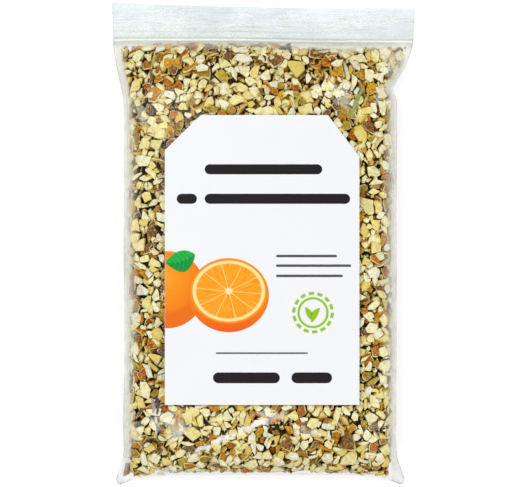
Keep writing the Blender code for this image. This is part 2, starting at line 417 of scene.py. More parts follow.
class DistanceField:
    """Distance to the CAD bag's surface on a grid, negative inside, with its gradient."""

    def __init__(self):
        low, high = BAG_POINTS.min(0), BAG_POINTS.max(0)
        axes = [np.arange(low[k] - 2 * FIELD_STEP, high[k] + 3 * FIELD_STEP, FIELD_STEP) for k in range(3)]
        self.origin = np.array([axis[0] for axis in axes])
        self.high = np.array([axis[-1] for axis in axes])
        distance = np.empty([len(axis) for axis in axes])
        for i, x in enumerate(axes[0]):
            for j, y in enumerate(axes[1]):
                top, bottom = drop(BAG_TREE, x, y), drop(BAG_TREE, x, y, 1)
                for k, z in enumerate(axes[2]):
                    inside = top is not None and bottom is not None and bottom < z < top
                    distance[i, j, k] = BAG_TREE.find_nearest(Vector((x, y, z)))[3] * (-1 if inside else 1)
        distance = np.maximum(distance, self.past_margins(*axes[:2])[..., None])
        slope = np.stack(np.gradient(distance, FIELD_STEP), -1)
        self.grid = np.concatenate([distance[..., None], slope], -1)

    def past_margins(self, xs, ys):
        """How far past the margins along the sides, under the seal and over the base each x and y lies."""
        past = np.empty((len(xs), len(ys)))
        ripple = 0.0004 * np.sin(xs * 510 + 1)
        top = seal_height_at(xs) - np.interp(xs, *np.transpose(SEAL_MARGINS)) + ripple
        inner = np.clip(xs, BAG_LOW.x + 0.007, BAG_HIGH.x - 0.007)
        base = np.array([outline_point(0, x, -1)[1] for x in inner])
        base = base + np.interp(xs, *np.transpose(BASE_MARGINS))
        for j, y in enumerate(np.clip(ys, BAG_LOW.y + 0.006, BAG_HIGH.y - 0.001)):
            near_seal = 1 - smooth_step(*NEAR_SEAL, SEAL_Y - y)
            left, right = (outline_point(1, y, side)[0] for side in (-1, 1))
            past_left = left + LEFT_MARGIN * (1 - LEFT_EASED * near_seal) - xs
            past_right = xs - right + RIGHT_MARGIN * (1 - RIGHT_EASED * near_seal)
            past[:, j] = np.maximum.reduce([past_left, past_right, ys[j] - top, base - ripple - ys[j]])
        return past

    def sample(self, points):
        """Distance and outward direction at points."""
        place = np.clip((points - self.origin) / FIELD_STEP, 0, np.array(self.grid.shape[:3]) - 1.001)
        low = place.astype(int)
        share = place - low
        total = 0
        for corner_index in np.ndindex(2, 2, 2):
            weight = np.prod(np.where(corner_index, share, 1 - share), axis=1)
            at = low + corner_index
            total = total + weight[:, None] * self.grid[at[:, 0], at[:, 1], at[:, 2]]
        return total[:, 0], unit(total[:, 1:], 1e-9)

    def scatter(self, count, least_depth, most_depth):
        """Random points in a layer under the film."""
        found = np.empty((0, 3))
        while len(found) < count:
            points = rng.uniform(self.origin, self.high, (count * 4, 3))
            depth = -self.sample(points)[0]
            found = np.concatenate([found, points[(depth > least_depth) & (depth < most_depth)]])
        return found[:count]


# ---------------------------------------------------------------- packing the peel


def near_pairs(points, reach):
    """Pairs of points closer together than reach."""
    cell = np.floor((points - points.min(0)) / reach).astype(np.int64) + 1
    size = cell.max(0) + 2
    key = cell[:, 0] + size[0] * (cell[:, 1] + size[1] * cell[:, 2])
    order = np.argsort(key, kind="stable")
    key = key[order]
    index = np.arange(len(points))
    first, second = [], []
    for dy, dz in ((0, 0), (1, 0), (-1, 1), (0, 1), (1, 1)):
        row = key + size[0] * (dy + size[1] * dz)
        start = index + 1 if (dy, dz) == (0, 0) else np.searchsorted(key, row - 1, "left")
        many = np.maximum(np.searchsorted(key, row + 1, "right") - start, 0)
        first.append(np.repeat(index, many))
        second.append(np.arange(many.sum()) + np.repeat(start - np.cumsum(many) + many, many))
    a, b = order[np.concatenate(first)], order[np.concatenate(second)]
    close = ((points[a] - points[b]) ** 2).sum(1) < reach * reach
    return a[close], b[close]


def flake_sizes(count):
    """Half lengths, half widths, thicknesses and curls."""
    drawn = rng.lognormal(math.log(FLAKE_LENGTH), LENGTH_SPREAD, count)
    length = np.clip(drawn, FLAKE_SHORTEST, FLAKE_LONGEST)
    is_strip = rng.random(count) < STRIP_SHARE
    width = length * np.where(is_strip, rng.uniform(*STRIP_WIDTHS, count), rng.uniform(*FLAKE_WIDTHS, count))
    thickness = rng.uniform(*THICKNESSES, count) * (length / FLAKE_LENGTH) ** THICKNESS_POWER
    is_cup = rng.random(count) < CUP_SHARE
    curl = np.where(is_cup, rng.uniform(1.0, CUP_CURL, count), rng.uniform(-0.1, 1.0, count)) * CURL_MOST
    return length, width, thickness, np.minimum(curl, CUP_SLOPE / length)


def balls_of(length, width, thickness, curl):
    """The balls that stand for each flake, in its own frame."""
    radius = thickness / 2
    parts = [np.zeros((len(length), 1, 2))]
    for count, share, turned in ((INNER_BALLS, 0.5, 0.5), (OUTER_BALLS, 1.0, 0.0)):
        angle = 2 * math.pi * (np.arange(count) + turned) / count
        x = np.cos(angle) * (length - radius)[:, None] * share
        y = np.sin(angle) * np.maximum(width - radius, 0.0003)[:, None] * share
        parts.append(np.stack([x, y], -1))
    flat = np.concatenate(parts, 1)
    height = -curl[:, None] / 2 * flat[..., 0] ** 2
    return np.concatenate([flat, height[..., None]], -1)


def in_place(middle, turn, own):
    """Points of rigid flakes moved from their own frames to the bag's."""
    return middle[:, None] + np.einsum("nij,nmj->nmi", turn, own)


def turns_facing(facing):
    """Rotation matrices whose third column is the flake's pale side, turned at random about it."""
    facing = unit(facing)
    across = unit(np.cross(rng.normal(size=facing.shape), facing))
    return np.stack([across, np.cross(facing, across), facing], -1)


def first_turns(distance, outward):
    """Turns for flakes that lie flatter near the film, most with the pale side out."""
    tilt = TILT_AT_FILM + (TILT_DEEP - TILT_AT_FILM) * np.clip(-distance / SHELL, 0, 1)
    pith_out = np.where(rng.random(len(distance)) < PITH_OUT_SHARE, 1, -1)
    return turns_facing((outward + rng.normal(size=outward.shape) * tilt[:, None]) * pith_out[:, None])


def pushed_apart(balls, radius, pairs):
    """How far each ball moves so that it no longer overlaps its neighbours."""
    a, b = pairs
    apart = balls[a] - balls[b]
    distance = np.sqrt((apart**2).sum(1)) + 1e-9
    overlap = radius[a] + radius[b] - distance
    hit = overlap > 0
    a, b = a[hit], b[hit]
    step = apart[hit] * (overlap[hit] / distance[hit] * 0.5)[:, None]
    count = len(balls)
    return np.stack(
        [np.bincount(a, step[:, k], count) - np.bincount(b, step[:, k], count) for k in range(3)], -1
    )


def best_turns(balls, rest):
    """Middles and rotations of the rigid flakes that fit the moved balls best."""
    middle = balls.mean(1)
    spread = np.einsum("nmi,nmj->nij", balls - middle[:, None], rest)
    u, _, vt = np.linalg.svd(spread)
    u[:, :, 2] *= np.linalg.det(u @ vt)[:, None]
    return middle, u @ vt


def pack(field, rest, ball_radius, gap, middle, turn, steps):
    """Relaxes the flakes until they touch but hardly overlap, pressed against the film."""
    flakes, per_flake = rest.shape[:2]
    owner = np.repeat(np.arange(flakes), per_flake)
    full_radius = np.repeat(ball_radius, per_flake)
    gap = np.repeat(gap, per_flake)
    for step in range(steps):
        grown = min(1.0, START_SIZE + GROWTH * step / steps)
        balls = (middle[:, None] + np.einsum("nij,nmj->nmi", turn, rest) * grown).reshape(-1, 3)
        radius = full_radius * grown
        if step % STEPS_PER_SEARCH == 0:
            a, b = near_pairs(balls, SEARCH_REACH * full_radius.max())
            apart = owner[a] != owner[b]
            pairs = a[apart], b[apart]
        move = pushed_apart(balls, radius, pairs)
        distance, outward = field.sample(balls)
        press = PRESS if step < PRESSED_SHARE * steps else 0.0
        too_far_out = np.maximum(0, distance + radius + gap)
        too_deep = np.maximum(0, -distance - SHELL)
        move += outward * (press - too_far_out + too_deep)[:, None]
        middle, turn = best_turns((balls + move).reshape(flakes, per_flake, 3), rest)
    return middle, turn


# ---------------------------------------------------------------- the flakes' meshes

# Rings of a flake from near the pale face's middle outwards and back under to the skin: share of the outline,
# height as a share of the thickness, how much of it is skin, and how much the colour there turns darker
# golden brown.
FLAKE_RIM, SMALL_RIM, CRUMB_RIM = 12, 8, 7
FLAKE_RINGS = (
    (0.58, 0.50, 0, 0), (0.95, 0.46, 0, 0.1), (1.0, 0.20, 0, 1), (0.98, -0.32, 0.45, 0.3),
    (0.87, -0.50, 1, 0),
)
SMALL_RINGS = ((0.80, 0.48, 0, 0), (1.0, -0.02, 0.3, 1), (0.82, -0.48, 1, 0))

CUTS = 5  # straight cuts round a flake, of which three to five show
CUT_TURN, CUT_REACH = 0.36, (0.62, 1.12)  # how unevenly the cuts face, and how far out they lie
CUT_FACING = 0.25  # a cut that faces further away from a rim point doesn't count there
RIM_SLACK, RIM_TRIES = 0.44, 7  # how far, in rim points, each one looks for a corner, and in how many steps
CORNER_MOST, REACH_MOST = 1.40, 1.26  # how far a corner sticks out, before and after the size is set right
RIM_WOBBLE = (0.94, 1.04)
FLAKE_FILL = 0.98  # how much of its place in the pack each flake fills

ROOM_STEP, ROOM_SHARES = 0.12, (1.0, 0.88, 0.76, 0.64)  # how a flake gives way to its neighbours
ROOM_REACH, ROOM_HEIGHT = 1.02, 0.45  # how near, across and through the thickness, a neighbour counts
ROOM_SEARCH = 1.2  # how near, in half lengths, neighbours are looked at

TWIST, CRESCENT = 60, 0.22  # how far flakes are twisted, in 1/m, and bent sideways
RING_WOBBLE, RING_LIFT = 0.05, 0.08  # how uneven the rings are, outwards and in height
SKIN_LEAN, SKIN_SLANT = 0.12, 1.7  # how far the skin is off to one side, and reaches up the cut there
PALE_BULGE, SKIN_BULGE = (0.42, 0.60), (0.30, 0.46)  # heights of the middles of both faces


def rim_outlines(count, rim):
    """Outlines of chopped flakes, about 1 in size: a few straight cuts, with points near their corners."""
    uneven = rng.uniform(-CUT_TURN, CUT_TURN, (count, CUTS))
    facing = 2 * math.pi / CUTS * (np.arange(CUTS) + uneven)
    reach = rng.uniform(*CUT_REACH, (count, CUTS))[:, None, None, :]
    places = 2 * math.pi / rim * (np.arange(rim)[:, None] + np.linspace(-RIM_SLACK, RIM_SLACK, RIM_TRIES))
    share = np.cos(places[None, :, :, None] - facing[:, None, None, :])
    away = np.where(share > CUT_FACING, reach / np.maximum(share, CUT_FACING), np.inf).min(3)
    nearest_corner = away.argmax(2)
    away = np.minimum(np.take_along_axis(away, nearest_corner[..., None], 2)[..., 0], CORNER_MOST)
    angle = places[np.arange(rim), nearest_corner]
    away = np.minimum(away / away.mean(1, keepdims=True), REACH_MOST) * rng.uniform(*RIM_WOBBLE, (count, rim))
    return np.stack([np.cos(angle) * away, np.sin(angle) * away], -1) * FLAKE_FILL


def bowl(x, y):
    """How far a flake of curl 1 has curled down at a place on it."""
    return x**2 / 2 + CROSS_CURL * y**2


def room_beside(outline, sizes, middle, turn, depth):
    """How far out, as a share, each rim point can reach before it meets a neighbour nearer to the film."""
    length, width, thickness, curl = (values[:, None] for values in sizes)
    a, b = near_pairs(middle, 2 * FLAKE_LONGEST)
    upper, lower = np.where(depth[a] < depth[b], (a, b), (b, a))
    near = np.linalg.norm(middle[a] - middle[b], axis=1) < ROOM_SEARCH * (length[a] + length[b])[:, 0]
    upper, lower = upper[near], lower[near]
    room = np.ones(outline.shape[:2])
    for share in ROOM_SHARES:
        x, y = outline[..., 0] * length * share, outline[..., 1] * width * share
        place = in_place(middle, turn, np.stack([x, y, -curl * bowl(x, y)], -1))
        seen = np.einsum("nij,nmi->nmj", turn[upper], place[lower] - middle[upper][:, None])
        x, y, z = seen[..., 0], seen[..., 1], seen[..., 2]
        over = np.abs(z + curl[upper] * bowl(x, y)) < ROOM_HEIGHT * (thickness[upper] + thickness[lower])
        met = ((x / length[upper]) ** 2 + (y / width[upper]) ** 2 < ROOM_REACH) & over
        blocked = np.zeros(outline.shape[:2], bool)
        np.logical_or.at(blocked, lower, met)
        room = np.where(blocked, np.minimum(room, share - ROOM_STEP), room)
    return room


def flake_points(sizes, outline, rings):
    """Vertices of every flake in its own frame, how much of each is skin, and how much is the cut's edge."""
    length, width, thickness, curl = (values[:, None] for values in sizes)
    count, rim = outline.shape[:2]
    twist = rng.uniform(-TWIST, TWIST, count)[:, None]
    crescent = rng.uniform(-CRESCENT, CRESCENT, count)[:, None] / length
    lean = np.cos(2 * math.pi / rim * np.arange(rim) - rng.uniform(0, 2 * math.pi, count)[:, None])
    layers, skins, edges = [], [], []
    for share, height, skin, edge in rings:
        uneven = rng.uniform(-RING_WOBBLE, RING_WOBBLE, (count, rim)) * (share < 1)
        wobble = share * (1 + uneven + SKIN_LEAN * lean * (skin == 1))
        x, y = outline[..., 0] * length * wobble, outline[..., 1] * width * wobble
        bend = -curl / 2 * x**2 - CROSS_CURL * curl * y**2 + twist * x * y
        z = bend + thickness * (height + rng.uniform(-RING_LIFT, RING_LIFT, (count, rim)))
        layers.append(np.stack([x, y + crescent * x**2, z], -1))
        skins.append(skin + SKIN_SLANT * skin * (1 - skin) * lean)
        edges += [edge] * rim
    ends = np.zeros((count, 2, 3))
    ends[:, 0, 2] = thickness[:, 0] * rng.uniform(*PALE_BULGE, count)
    ends[:, 1, 2] = -thickness[:, 0] * rng.uniform(*SKIN_BULGE, count)
    skins.append(np.tile([0.0, 1.0], (count, 1)))
    edges = np.tile(edges + [0, 0], (count, 1))
    return np.concatenate([*layers, ends], 1), np.concatenate(skins, 1), edges


def flake_faces(rim, rings):
    """Triangles that every flake shares."""
    faces = []
    top, under = len(rings) * rim, len(rings) * rim + 1
    last = (len(rings) - 1) * rim
    for i in range(rim):
        after = (i + 1) % rim
        faces.append((top, i, after))
        faces.append((under, last + after, last + i))
        for ring in range(len(rings) - 1):
            a, b, c, d = ring * rim + i, ring * rim + after, (ring + 1) * rim + after, (ring + 1) * rim + i
            faces += [(a, d, c), (a, c, b)]
    return np.array(faces)


# ---------------------------------------------------------------- materials of the peel

PITH_STOPS = [
    (0.0, (255, 255, 240)), (0.30, (255, 254, 228)), (0.66, (255, 250, 206)), (0.86, (254, 241, 174)),
    (0.95, (244, 224, 138)), (1.0, (230, 202, 108)),
]
# The kinds of skin: the share of the flakes that have it, and its colours.
SKINS = {
    "peel_gold": (0.31, [(0.0, (232, 178, 42)), (0.5, (214, 146, 22)), (1.0, (190, 118, 22))]),
    "peel_russet": (0.25, [(0.0, (206, 118, 26)), (0.5, (178, 92, 28)), (1.0, (142, 70, 34))]),
    "peel_olive": (0.24, [(0.0, (206, 188, 66)), (0.5, (178, 152, 54)), (1.0, (146, 124, 62))]),
    "peel_plum": (
        0.20, [(0.0, (132, 84, 62)), (0.55, (104, 72, 66)), (0.8, (92, 84, 84)), (1.0, (122, 118, 116))]
    ),
}
MIXED_SKIN = [(0.0, (220, 164, 38)), (0.35, (186, 106, 38)), (0.65, (168, 148, 66)), (1.0, (108, 74, 68))]
# Painted shade that darkens the peel's colour in nooks and deep down, and how its colour varies from flake to
# flake.
PAINTED_NOOK_SHADES = [
    (0.22, 1.0), (0.42, (0.92, 0.82, 0.36, 1)), (0.59, (0.60, 0.46, 0.06, 1)),
    (0.78, (0.27, 0.16, 0.010, 1)), (1.0, (0.058, 0.028, 0.001, 1)),
]
CASTS = [(0.0, (1.0, 0.955, 0.91, 1)), (0.5, 1.0), (1.0, (0.985, 1.0, 0.83, 1))]


def skin_colour(n, own, mottle, grain, glands, stops):
    """The glossy outer side: its own shade with lit and dark blotches and darker oil glands."""
    skin = n.ramp(own, stops)
    skin = n.blend(n.times(n.rise(grain, 0.48, 0.62), 0.60), skin, (240, 192, 70))
    skin = n.blend(n.times(n.rise(mottle, 0.52, 0.38), 0.60), skin, (104, 52, 26))
    return n.blend(n.ramp(glands, [(0.0, 0.55), (0.45, 0.0)]), skin, (96, 52, 20))


def pith_colour(n, own, place, mottle, grain):
    """The pale inner side, golden over part of some flakes, stained in places and pitted."""
    pith = n.ramp(own, PITH_STOPS)
    golden = n.rise(n.noise(300, 2, place), 0.50, 0.64)
    pith = n.blend(n.times(golden, 0.46), pith, (234, 208, 90))
    pith = n.blend(n.times(n.rise(mottle, 0.50, 0.64), 0.48), pith, (216, 194, 84))
    return n.blend(n.times(n.rise(grain, 0.48, 0.60), 0.27), pith, (206, 186, 86))


def peel_material(name, skin_stops):
    """Pale pith with a skin whose colour varies from flake to flake between the stops, darkened by painted
    shade in nooks and deep down.
    """
    n = Nodes(name)
    own = n.split(n.attribute("flake_tint", "Vector"))
    place = n.place()
    mottle = n.noise(620, 4, place, 0.6)
    grain = n.noise(1250, 3, place, 0.6)
    glands = n.add("TexVoronoi", Vector=place, Scale=1250.0).outputs["Distance"]

    skin = skin_colour(n, own[0], mottle, grain, glands, skin_stops)
    pith = pith_colour(n, own[1], place, mottle, grain)
    blotch = n.times(n.number("SUBTRACT", mottle, 0.5), 0.8)
    skin_share = n.plus(n.attribute("skin"), blotch)
    is_skin = n.rise(skin_share, 0.58, 0.78)
    pith = n.blend(n.times(n.rise(skin_share, 0.20, 0.55), 0.60), pith, (230, 202, 70))
    colour = n.blend(is_skin, pith, skin)
    colour = n.blend(n.times(n.rise(n.attribute("edge"), 0.22, 0.95), 0.60), colour, (146, 116, 14))
    # Painted shade in the nooks and deep down, then each flake's cast of colour, and darker patches at
    # random.
    shade = n.ramp(n.attribute("nook"), PAINTED_NOOK_SHADES)
    patch = n.ramp(n.noise(85, 2, place), [(0.34, 0.84), (0.48, 1.0)])
    colour = n.multiplied(colour, (shade, n.ramp(own[2], CASTS), patch))

    relief = n.blend(is_skin, n.blend(0.5, grain, mottle), glands)
    rough = n.ramp(is_skin, [(0.0, 0.80), (1.0, 0.32)])
    return n.finish(n.surface(colour, rough, 0.10, n.bump(0.7, 0.0005, relief)))


def core_material():
    n = Nodes("peel_core")
    place = n.place()
    bits = n.add("TexVoronoi", Vector=place, Scale=210.0)
    tone = n.add("SeparateColor", Color=bits.outputs["Color"]).outputs[0]
    spots = n.noise(900, 4, place)
    # Painted shade: the core is coloured as peel lying in shade, dark brown bits that turn darker still
    # towards their edges, with darker specks.
    colour = n.ramp(tone, [(0.0, (40, 26, 10)), (0.5, (64, 44, 18)), (1.0, (92, 68, 30))])
    colour = n.blend(n.rise(bits.outputs["Distance"], 0.3, 0.8), colour, (24, 14, 6))
    colour = n.blend(n.times(spots, 0.5), colour, (40, 25, 10))
    return n.finish(n.surface(colour, 0.9, normal=n.bump(0.8, 0.0008, spots)))


def stem_material():
    """Bits of stalk, from pale green to dark plum."""
    n = Nodes("peel_stems")
    stripe = n.noise(900, 4, n.place())
    colour = n.ramp(n.attribute("stem_tint"), [
        (0.0, (158, 172, 96)), (0.35, (206, 190, 96)), (0.65, (178, 160, 162)), (1.0, (66, 42, 54))])
    colour = n.blend(n.ramp(stripe, [(0.45, 0.0), (0.65, 0.5)]), colour, (110, 96, 60))
    return n.finish(n.surface(colour, 0.6, normal=n.bump(0.6, 0.0002, stripe)))


# ---------------------------------------------------------------- the contents

SMOOTH_UNDER = 38  # angle in degrees under which the peel's faces are shaded smoothly


def under_label(points, margin):
    """Which points lie under the paper, by more than the margin."""
    top = LABEL_HIGH.y - HIDDEN_BELOW_TOP
    x_in = (points[:, 0] > LABEL_LOW.x + margin) & (points[:, 0] < LABEL_HIGH.x - margin)
    y_in = (points[:, 1] > LABEL_LOW.y + margin) & (points[:, 1] < top - margin)
    return x_in & y_in & (points[:, 2] > BAG_HIGH.z / 2)


def pressed_in(field, points, gap):
    """Flakes that would touch the film move in, and what still touches it is pressed flat, gap under it."""
    for moved_whole in (True, False):
        distance, outward = field.sample(points.reshape(-1, 3))
        too_far_out = np.maximum(0, distance.reshape(points.shape[:2]) + gap[:, None])
        outward = outward.reshape(points.shape)
        if moved_whole:
            points = points - (outward.mean(1) * DENT_SHARE * too_far_out.max(1)[:, None])[:, None]
        else:
            points = points - outward * too_far_out[..., None]
    points[..., 2] = np.maximum(points[..., 2], FILM_GAP)
    return points


class Batch:
    """Flakes of one fineness, in place inside the bag. world is flake by vertex by 3."""

    def __init__(self, field, sizes, middle, turn, gap, rim, rings, shift=0.0):
        outline = rim_outlines(len(middle), rim)
        if rings is FLAKE_RINGS:
            outline *= room_beside(outline, sizes, middle, turn, -field.sample(middle)[0])[..., None]
        own, self.skin, self.edge = flake_points(sizes, outline, rings)
        self.world = pressed_in(field, in_place(middle, turn, own - shift), gap)
        self.faces = flake_faces(rim, rings)
        self.flake_tint = np.repeat(rng.random((len(middle), 1, 3)), self.world.shape[1], axis=1)
        # Every vertex starts at the darkest painted shade, which the flakes on the core keep.
        self.nook = np.ones(self.world.shape[:2])

    def part(self, mine=slice(None)):
        """Points and triangles of the chosen flakes."""
        world = self.world[mine]
        first = np.arange(len(world))[:, None, None] * world.shape[1]
        return world.reshape(-1, 3), (self.faces[None] + first).reshape(-1, 3)

    def values(self, name, mine):
        """One of the attributes of the chosen flakes, vertex by vertex."""
        own = getattr(self, name)[mine]
        return own.reshape(-1, *own.shape[2:])


def painted_shade_shares(field, tree, points):
    """How much shade is painted at each point, from 0 to 1: rays towards the film meet peel, or the point
    lies deep.
    """
    distance, outward = field.sample(points)
    across = unit(np.cross(outward, (0.3, 0.8, 0.52)))
    other = np.cross(outward, across)
    start = points + outward * 0.0001
    blocked = np.zeros(len(points))
    near = np.flatnonzero(-distance < NOOK_DEPTH)
    for turn in 2 * math.pi * np.arange(NOOK_RAYS) / NOOK_RAYS:
        way = unit(outward + NOOK_TILT * (math.cos(turn) * across + math.sin(turn) * other))
        for i, origin, direction in zip(near, start[near].tolist(), way[near].tolist()):
            blocked[i] += tree.ray_cast(origin, direction, NOOK_REACH)[0] is not None
    deep = smooth_step(NOOK_FROM, NOOK_DEPTH, -distance)
    return 1 - (1 - BLOCKED_WEIGHT * blocked / NOOK_RAYS) * (1 - DEEP_WEIGHT * deep)


# Paints shade into the peel where it lies in nooks or deep down.
def paint_shade_in_nooks(field, tree, batches):
    for batch in batches:
        batch.nook = painted_shade_shares(field, tree, batch.world.reshape(-1, 3)).reshape(batch.world.shape[:2])


def peel_piece(name, material, batches):
    """One kind of peel as one joined mesh, from pairs of a batch and which of its flakes are meant."""
    points, faces = [], []
    for batch, mine in batches:
        own_points, own_faces = batch.part(mine)
        faces.append(own_faces + sum(len(p) for p in points))
        points.append(own_points)
    piece = make_piece(name, np.concatenate(points), np.concatenate(faces), material, SMOOTH_UNDER)
    for attribute in ("skin", "edge", "nook", "flake_tint"):
        add_attribute(piece, attribute, np.concatenate([b.values(attribute, mine) for b, mine in batches]))


def packed_flakes(field):
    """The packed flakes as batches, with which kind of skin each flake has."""
    sizes = flake_sizes(FLAKES)
    balls = balls_of(*sizes)
    balls_middle = balls.mean(1)
    middle = field.scatter(FLAKES, PEEL_FROM, SHELL)
    turn = first_turns(*field.sample(middle))
    gap = FILM_GAP + rng.uniform(0, GAP_SPREAD, FLAKES)
    steps = FULL_STEPS
    middle, turn = pack(field, balls - balls_middle[:, None], sizes[2] / 2, gap, middle, turn, steps)
    depth = -field.sample(middle)[0]
    kind = rng.choice(len(SKINS), FLAKES, p=[share for share, _ in SKINS.values()])
    hidden = under_label(middle, FLAKE_HIDDEN) & (depth > HIDDEN_DEPTH)
    fine = depth <= FINE_DEPTH
    batches, kinds = [], []
    for chosen, rim, rings in ((fine, FLAKE_RIM, FLAKE_RINGS), (~fine & ~hidden, SMALL_RIM, SMALL_RINGS)):
        own = [values[chosen] for values in sizes]
        shift = balls_middle[chosen][:, None]
        batches.append(Batch(field, own, middle[chosen], turn[chosen], gap[chosen], rim, rings, shift))
        kinds.append(kind[chosen])
    batches.append(flake_in_ear(field))
    kinds.append(np.array([list(SKINS).index(EAR_FLAKE_SKIN)]))
    return batches, kinds


def make_flakes(batches, kinds):
    """One piece for each colour of skin."""
    for index, (name, (_, stops)) in enumerate(SKINS.items()):
        mine = [(batch, of_kind == index) for batch, of_kind in zip(batches, kinds)]
        peel_piece(name, peel_material(name, stops), [pair for pair in mine if pair[1].any()])


# The one flake that has slipped into the film's lower left corner. A gap below 0 lets it push the film out.
EAR_FLAKE_SKIN, EAR_FLAKE_PLACE, EAR_FLAKE_GAP = "peel_plum", (-0.0712, -0.1176), -0.0002
EAR_FLAKE_SIZES = (0.0036, 0.0025, 0.0010, 0.0)
EAR_FLAKE_TURN = ((0.2, 0.98, 0.0), (0.98, -0.2, 0.0), (0.0, 0.0, -1.0))


def flake_in_ear(field):
    x, y = EAR_FLAKE_PLACE
    middle = np.array([[x, y, (drop(BAG_TREE, x, y) + drop(BAG_TREE, x, y, 1)) / 2]])
    sizes = [np.array([value]) for value in EAR_FLAKE_SIZES]
    turn, gap = np.array([EAR_FLAKE_TURN]), np.array([EAR_FLAKE_GAP])
    return Batch(field, sizes, middle, turn, gap, FLAKE_RIM, FLAKE_RINGS)


def deep_flakes(field):
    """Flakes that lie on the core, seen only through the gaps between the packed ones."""
    middle = field.scatter(DEEP_FLAKES, *DEEP_LAYER)
    middle = middle[~under_label(middle, DEEP_HIDDEN)]
    count = len(middle)
    outward = field.sample(middle)[1]
    turn = turns_facing(outward * rng.choice([-1, 1], count)[:, None] + rng.normal(0, DEEP_LEAN, (count, 3)))
    return Batch(field, flake_sizes(count), middle, turn, np.full(count, FILM_GAP), SMALL_RIM, SMALL_RINGS)


def gaps_between(field, tree):
    """Middles and radii of balls that fit in the gaps between the flakes near the film."""
    points = field.scatter(CRUMB_TRIES, *CRUMB_LAYER)
    points = points[~under_label(points, CRUMB_HIDDEN)]
    room = np.array([tree.find_nearest(Vector(p))[3] for p in points])
    room = np.minimum(room, -field.sample(points)[0] - FILM_GAP)
    points, room = points[room > CRUMB_LEAST], np.minimum(room[room > CRUMB_LEAST], CRUMB_MOST)
    a, b = near_pairs(points, 2 * CRUMB_MOST)
    clash = np.linalg.norm(points[a] - points[b], axis=1) < CRUMB_SPACING * (room[a] + room[b])
    bigger, smaller = np.where(room[a] >= room[b], (a, b), (b, a))[:, clash]
    kept = np.ones(len(points), bool)
    for i in np.argsort(-room[bigger], kind="stable"):
        if kept[bigger[i]]:
            kept[smaller[i]] = False
    return points[kept], room[kept]


def crumbs(field, tree):
    """Small bits of peel in the gaps that the flakes leave."""
    middle, room = gaps_between(field, tree)
    count = len(middle)
    width = room * rng.uniform(*CRUMB_WIDTHS, count)
    thickness = room * rng.uniform(*CRUMB_THICKNESSES, count)
    sizes = room * CRUMB_LENGTH, width, thickness, np.zeros(count)
    turn = turns_facing(rng.normal(size=(count, 3)))
    return Batch(field, sizes, middle, turn, np.full(count, FILM_GAP), CRUMB_RIM, SMALL_RINGS)


# Bits of stalk just under the film: start, end, half width, and tint from green to dark.
STALKS = (
    ((0.0458, 0.0658), (0.0516, 0.0806), 0.0011, 0.0),
    ((0.0546, 0.0792), (0.0512, 0.0712), 0.0006, 0.35),
    ((-0.0556, -0.0796), (-0.0551, -0.0888), 0.0009, 1.0),
    ((-0.0580, -0.0806), (-0.0570, -0.0880), 0.0009, 0.65),
    ((0.0136, 0.1006), (0.0134, 0.1044), 0.0013, 1.0),
)
STALK_RINGS, STALK_CORNERS = 9, 6
STALK_BOW, STALK_FLATNESS = 0.0006, 0.45  # how far one is bowed sideways, and its thickness by its width


def stalk_points(start, end, half_width):
    """Rings of a flattened, slightly bent stick that lies just under the front film."""
    along = np.linspace(0, 1, STALK_RINGS)
    run = np.subtract(end, start)
    aside = np.array([-run[1], run[0]]) / np.linalg.norm(run)
    bow = STALK_BOW * np.sin(math.pi * along) + rng.normal(0, 0.00008, STALK_RINGS)
    line = np.array(start) + along[:, None] * run + bow[:, None] * aside
    radius = half_width * (0.45 + 0.55 * np.sin(math.pi * (0.12 + 0.76 * along)))
    radius = radius * rng.uniform(0.9, 1.1, STALK_RINGS)
    angle = 2 * math.pi * np.arange(STALK_CORNERS) / STALK_CORNERS
    top = np.array([drop(BAG_TREE, x, y) for x, y in line]) - FILM_GAP
    rings = np.empty((STALK_RINGS, STALK_CORNERS, 3))
    rings[..., :2] = line[:, None] + (radius[:, None] * np.cos(angle))[..., None] * aside
    high = radius * STALK_FLATNESS
    rings[..., 2] = (top - high)[:, None] + high[:, None] * np.sin(angle)
    return rings.reshape(-1, 3)


def make_stalks():
    """A few bits of stalk. Returns their points and faces."""
    index = numbered(STALK_RINGS, STALK_CORNERS)
    start, end = index[0], index[-1, ::-1]
    caps = [[*ring[:4]] for ring in (start, np.roll(start, -3), np.roll(end, -2), np.roll(end, 1))]
    faces = np.concatenate([grid_faces(closed(index)), caps])
    points = np.concatenate([stalk_points(*ends_and_width) for *ends_and_width, _ in STALKS])
    faces = np.concatenate([faces + i * index.size for i in range(len(STALKS))])
    piece = make_piece("peel_stems", points, faces, stem_material(), sharp_angle=50)
    add_attribute(piece, "stem_tint", np.repeat([tint for *_, tint in STALKS], index.size))
    return points, faces


# The core: its rings, the corners of each, and the steps in which it is measured.
CORE_ROWS, CORE_CORNERS, CORE_STEPS = 60, 56, 300
CORE_DEPTH, CORE_MARGIN, CORE_REACH = SHELL - 0.0009, 0.010, 0.075  # depth, distance to both seals, and size
CORE_MIDDLE = np.array([-0.0016, 0.0, 0.0132])
CORE_ROUGHNESS, CORE_TIP = 0.0003, 0.001


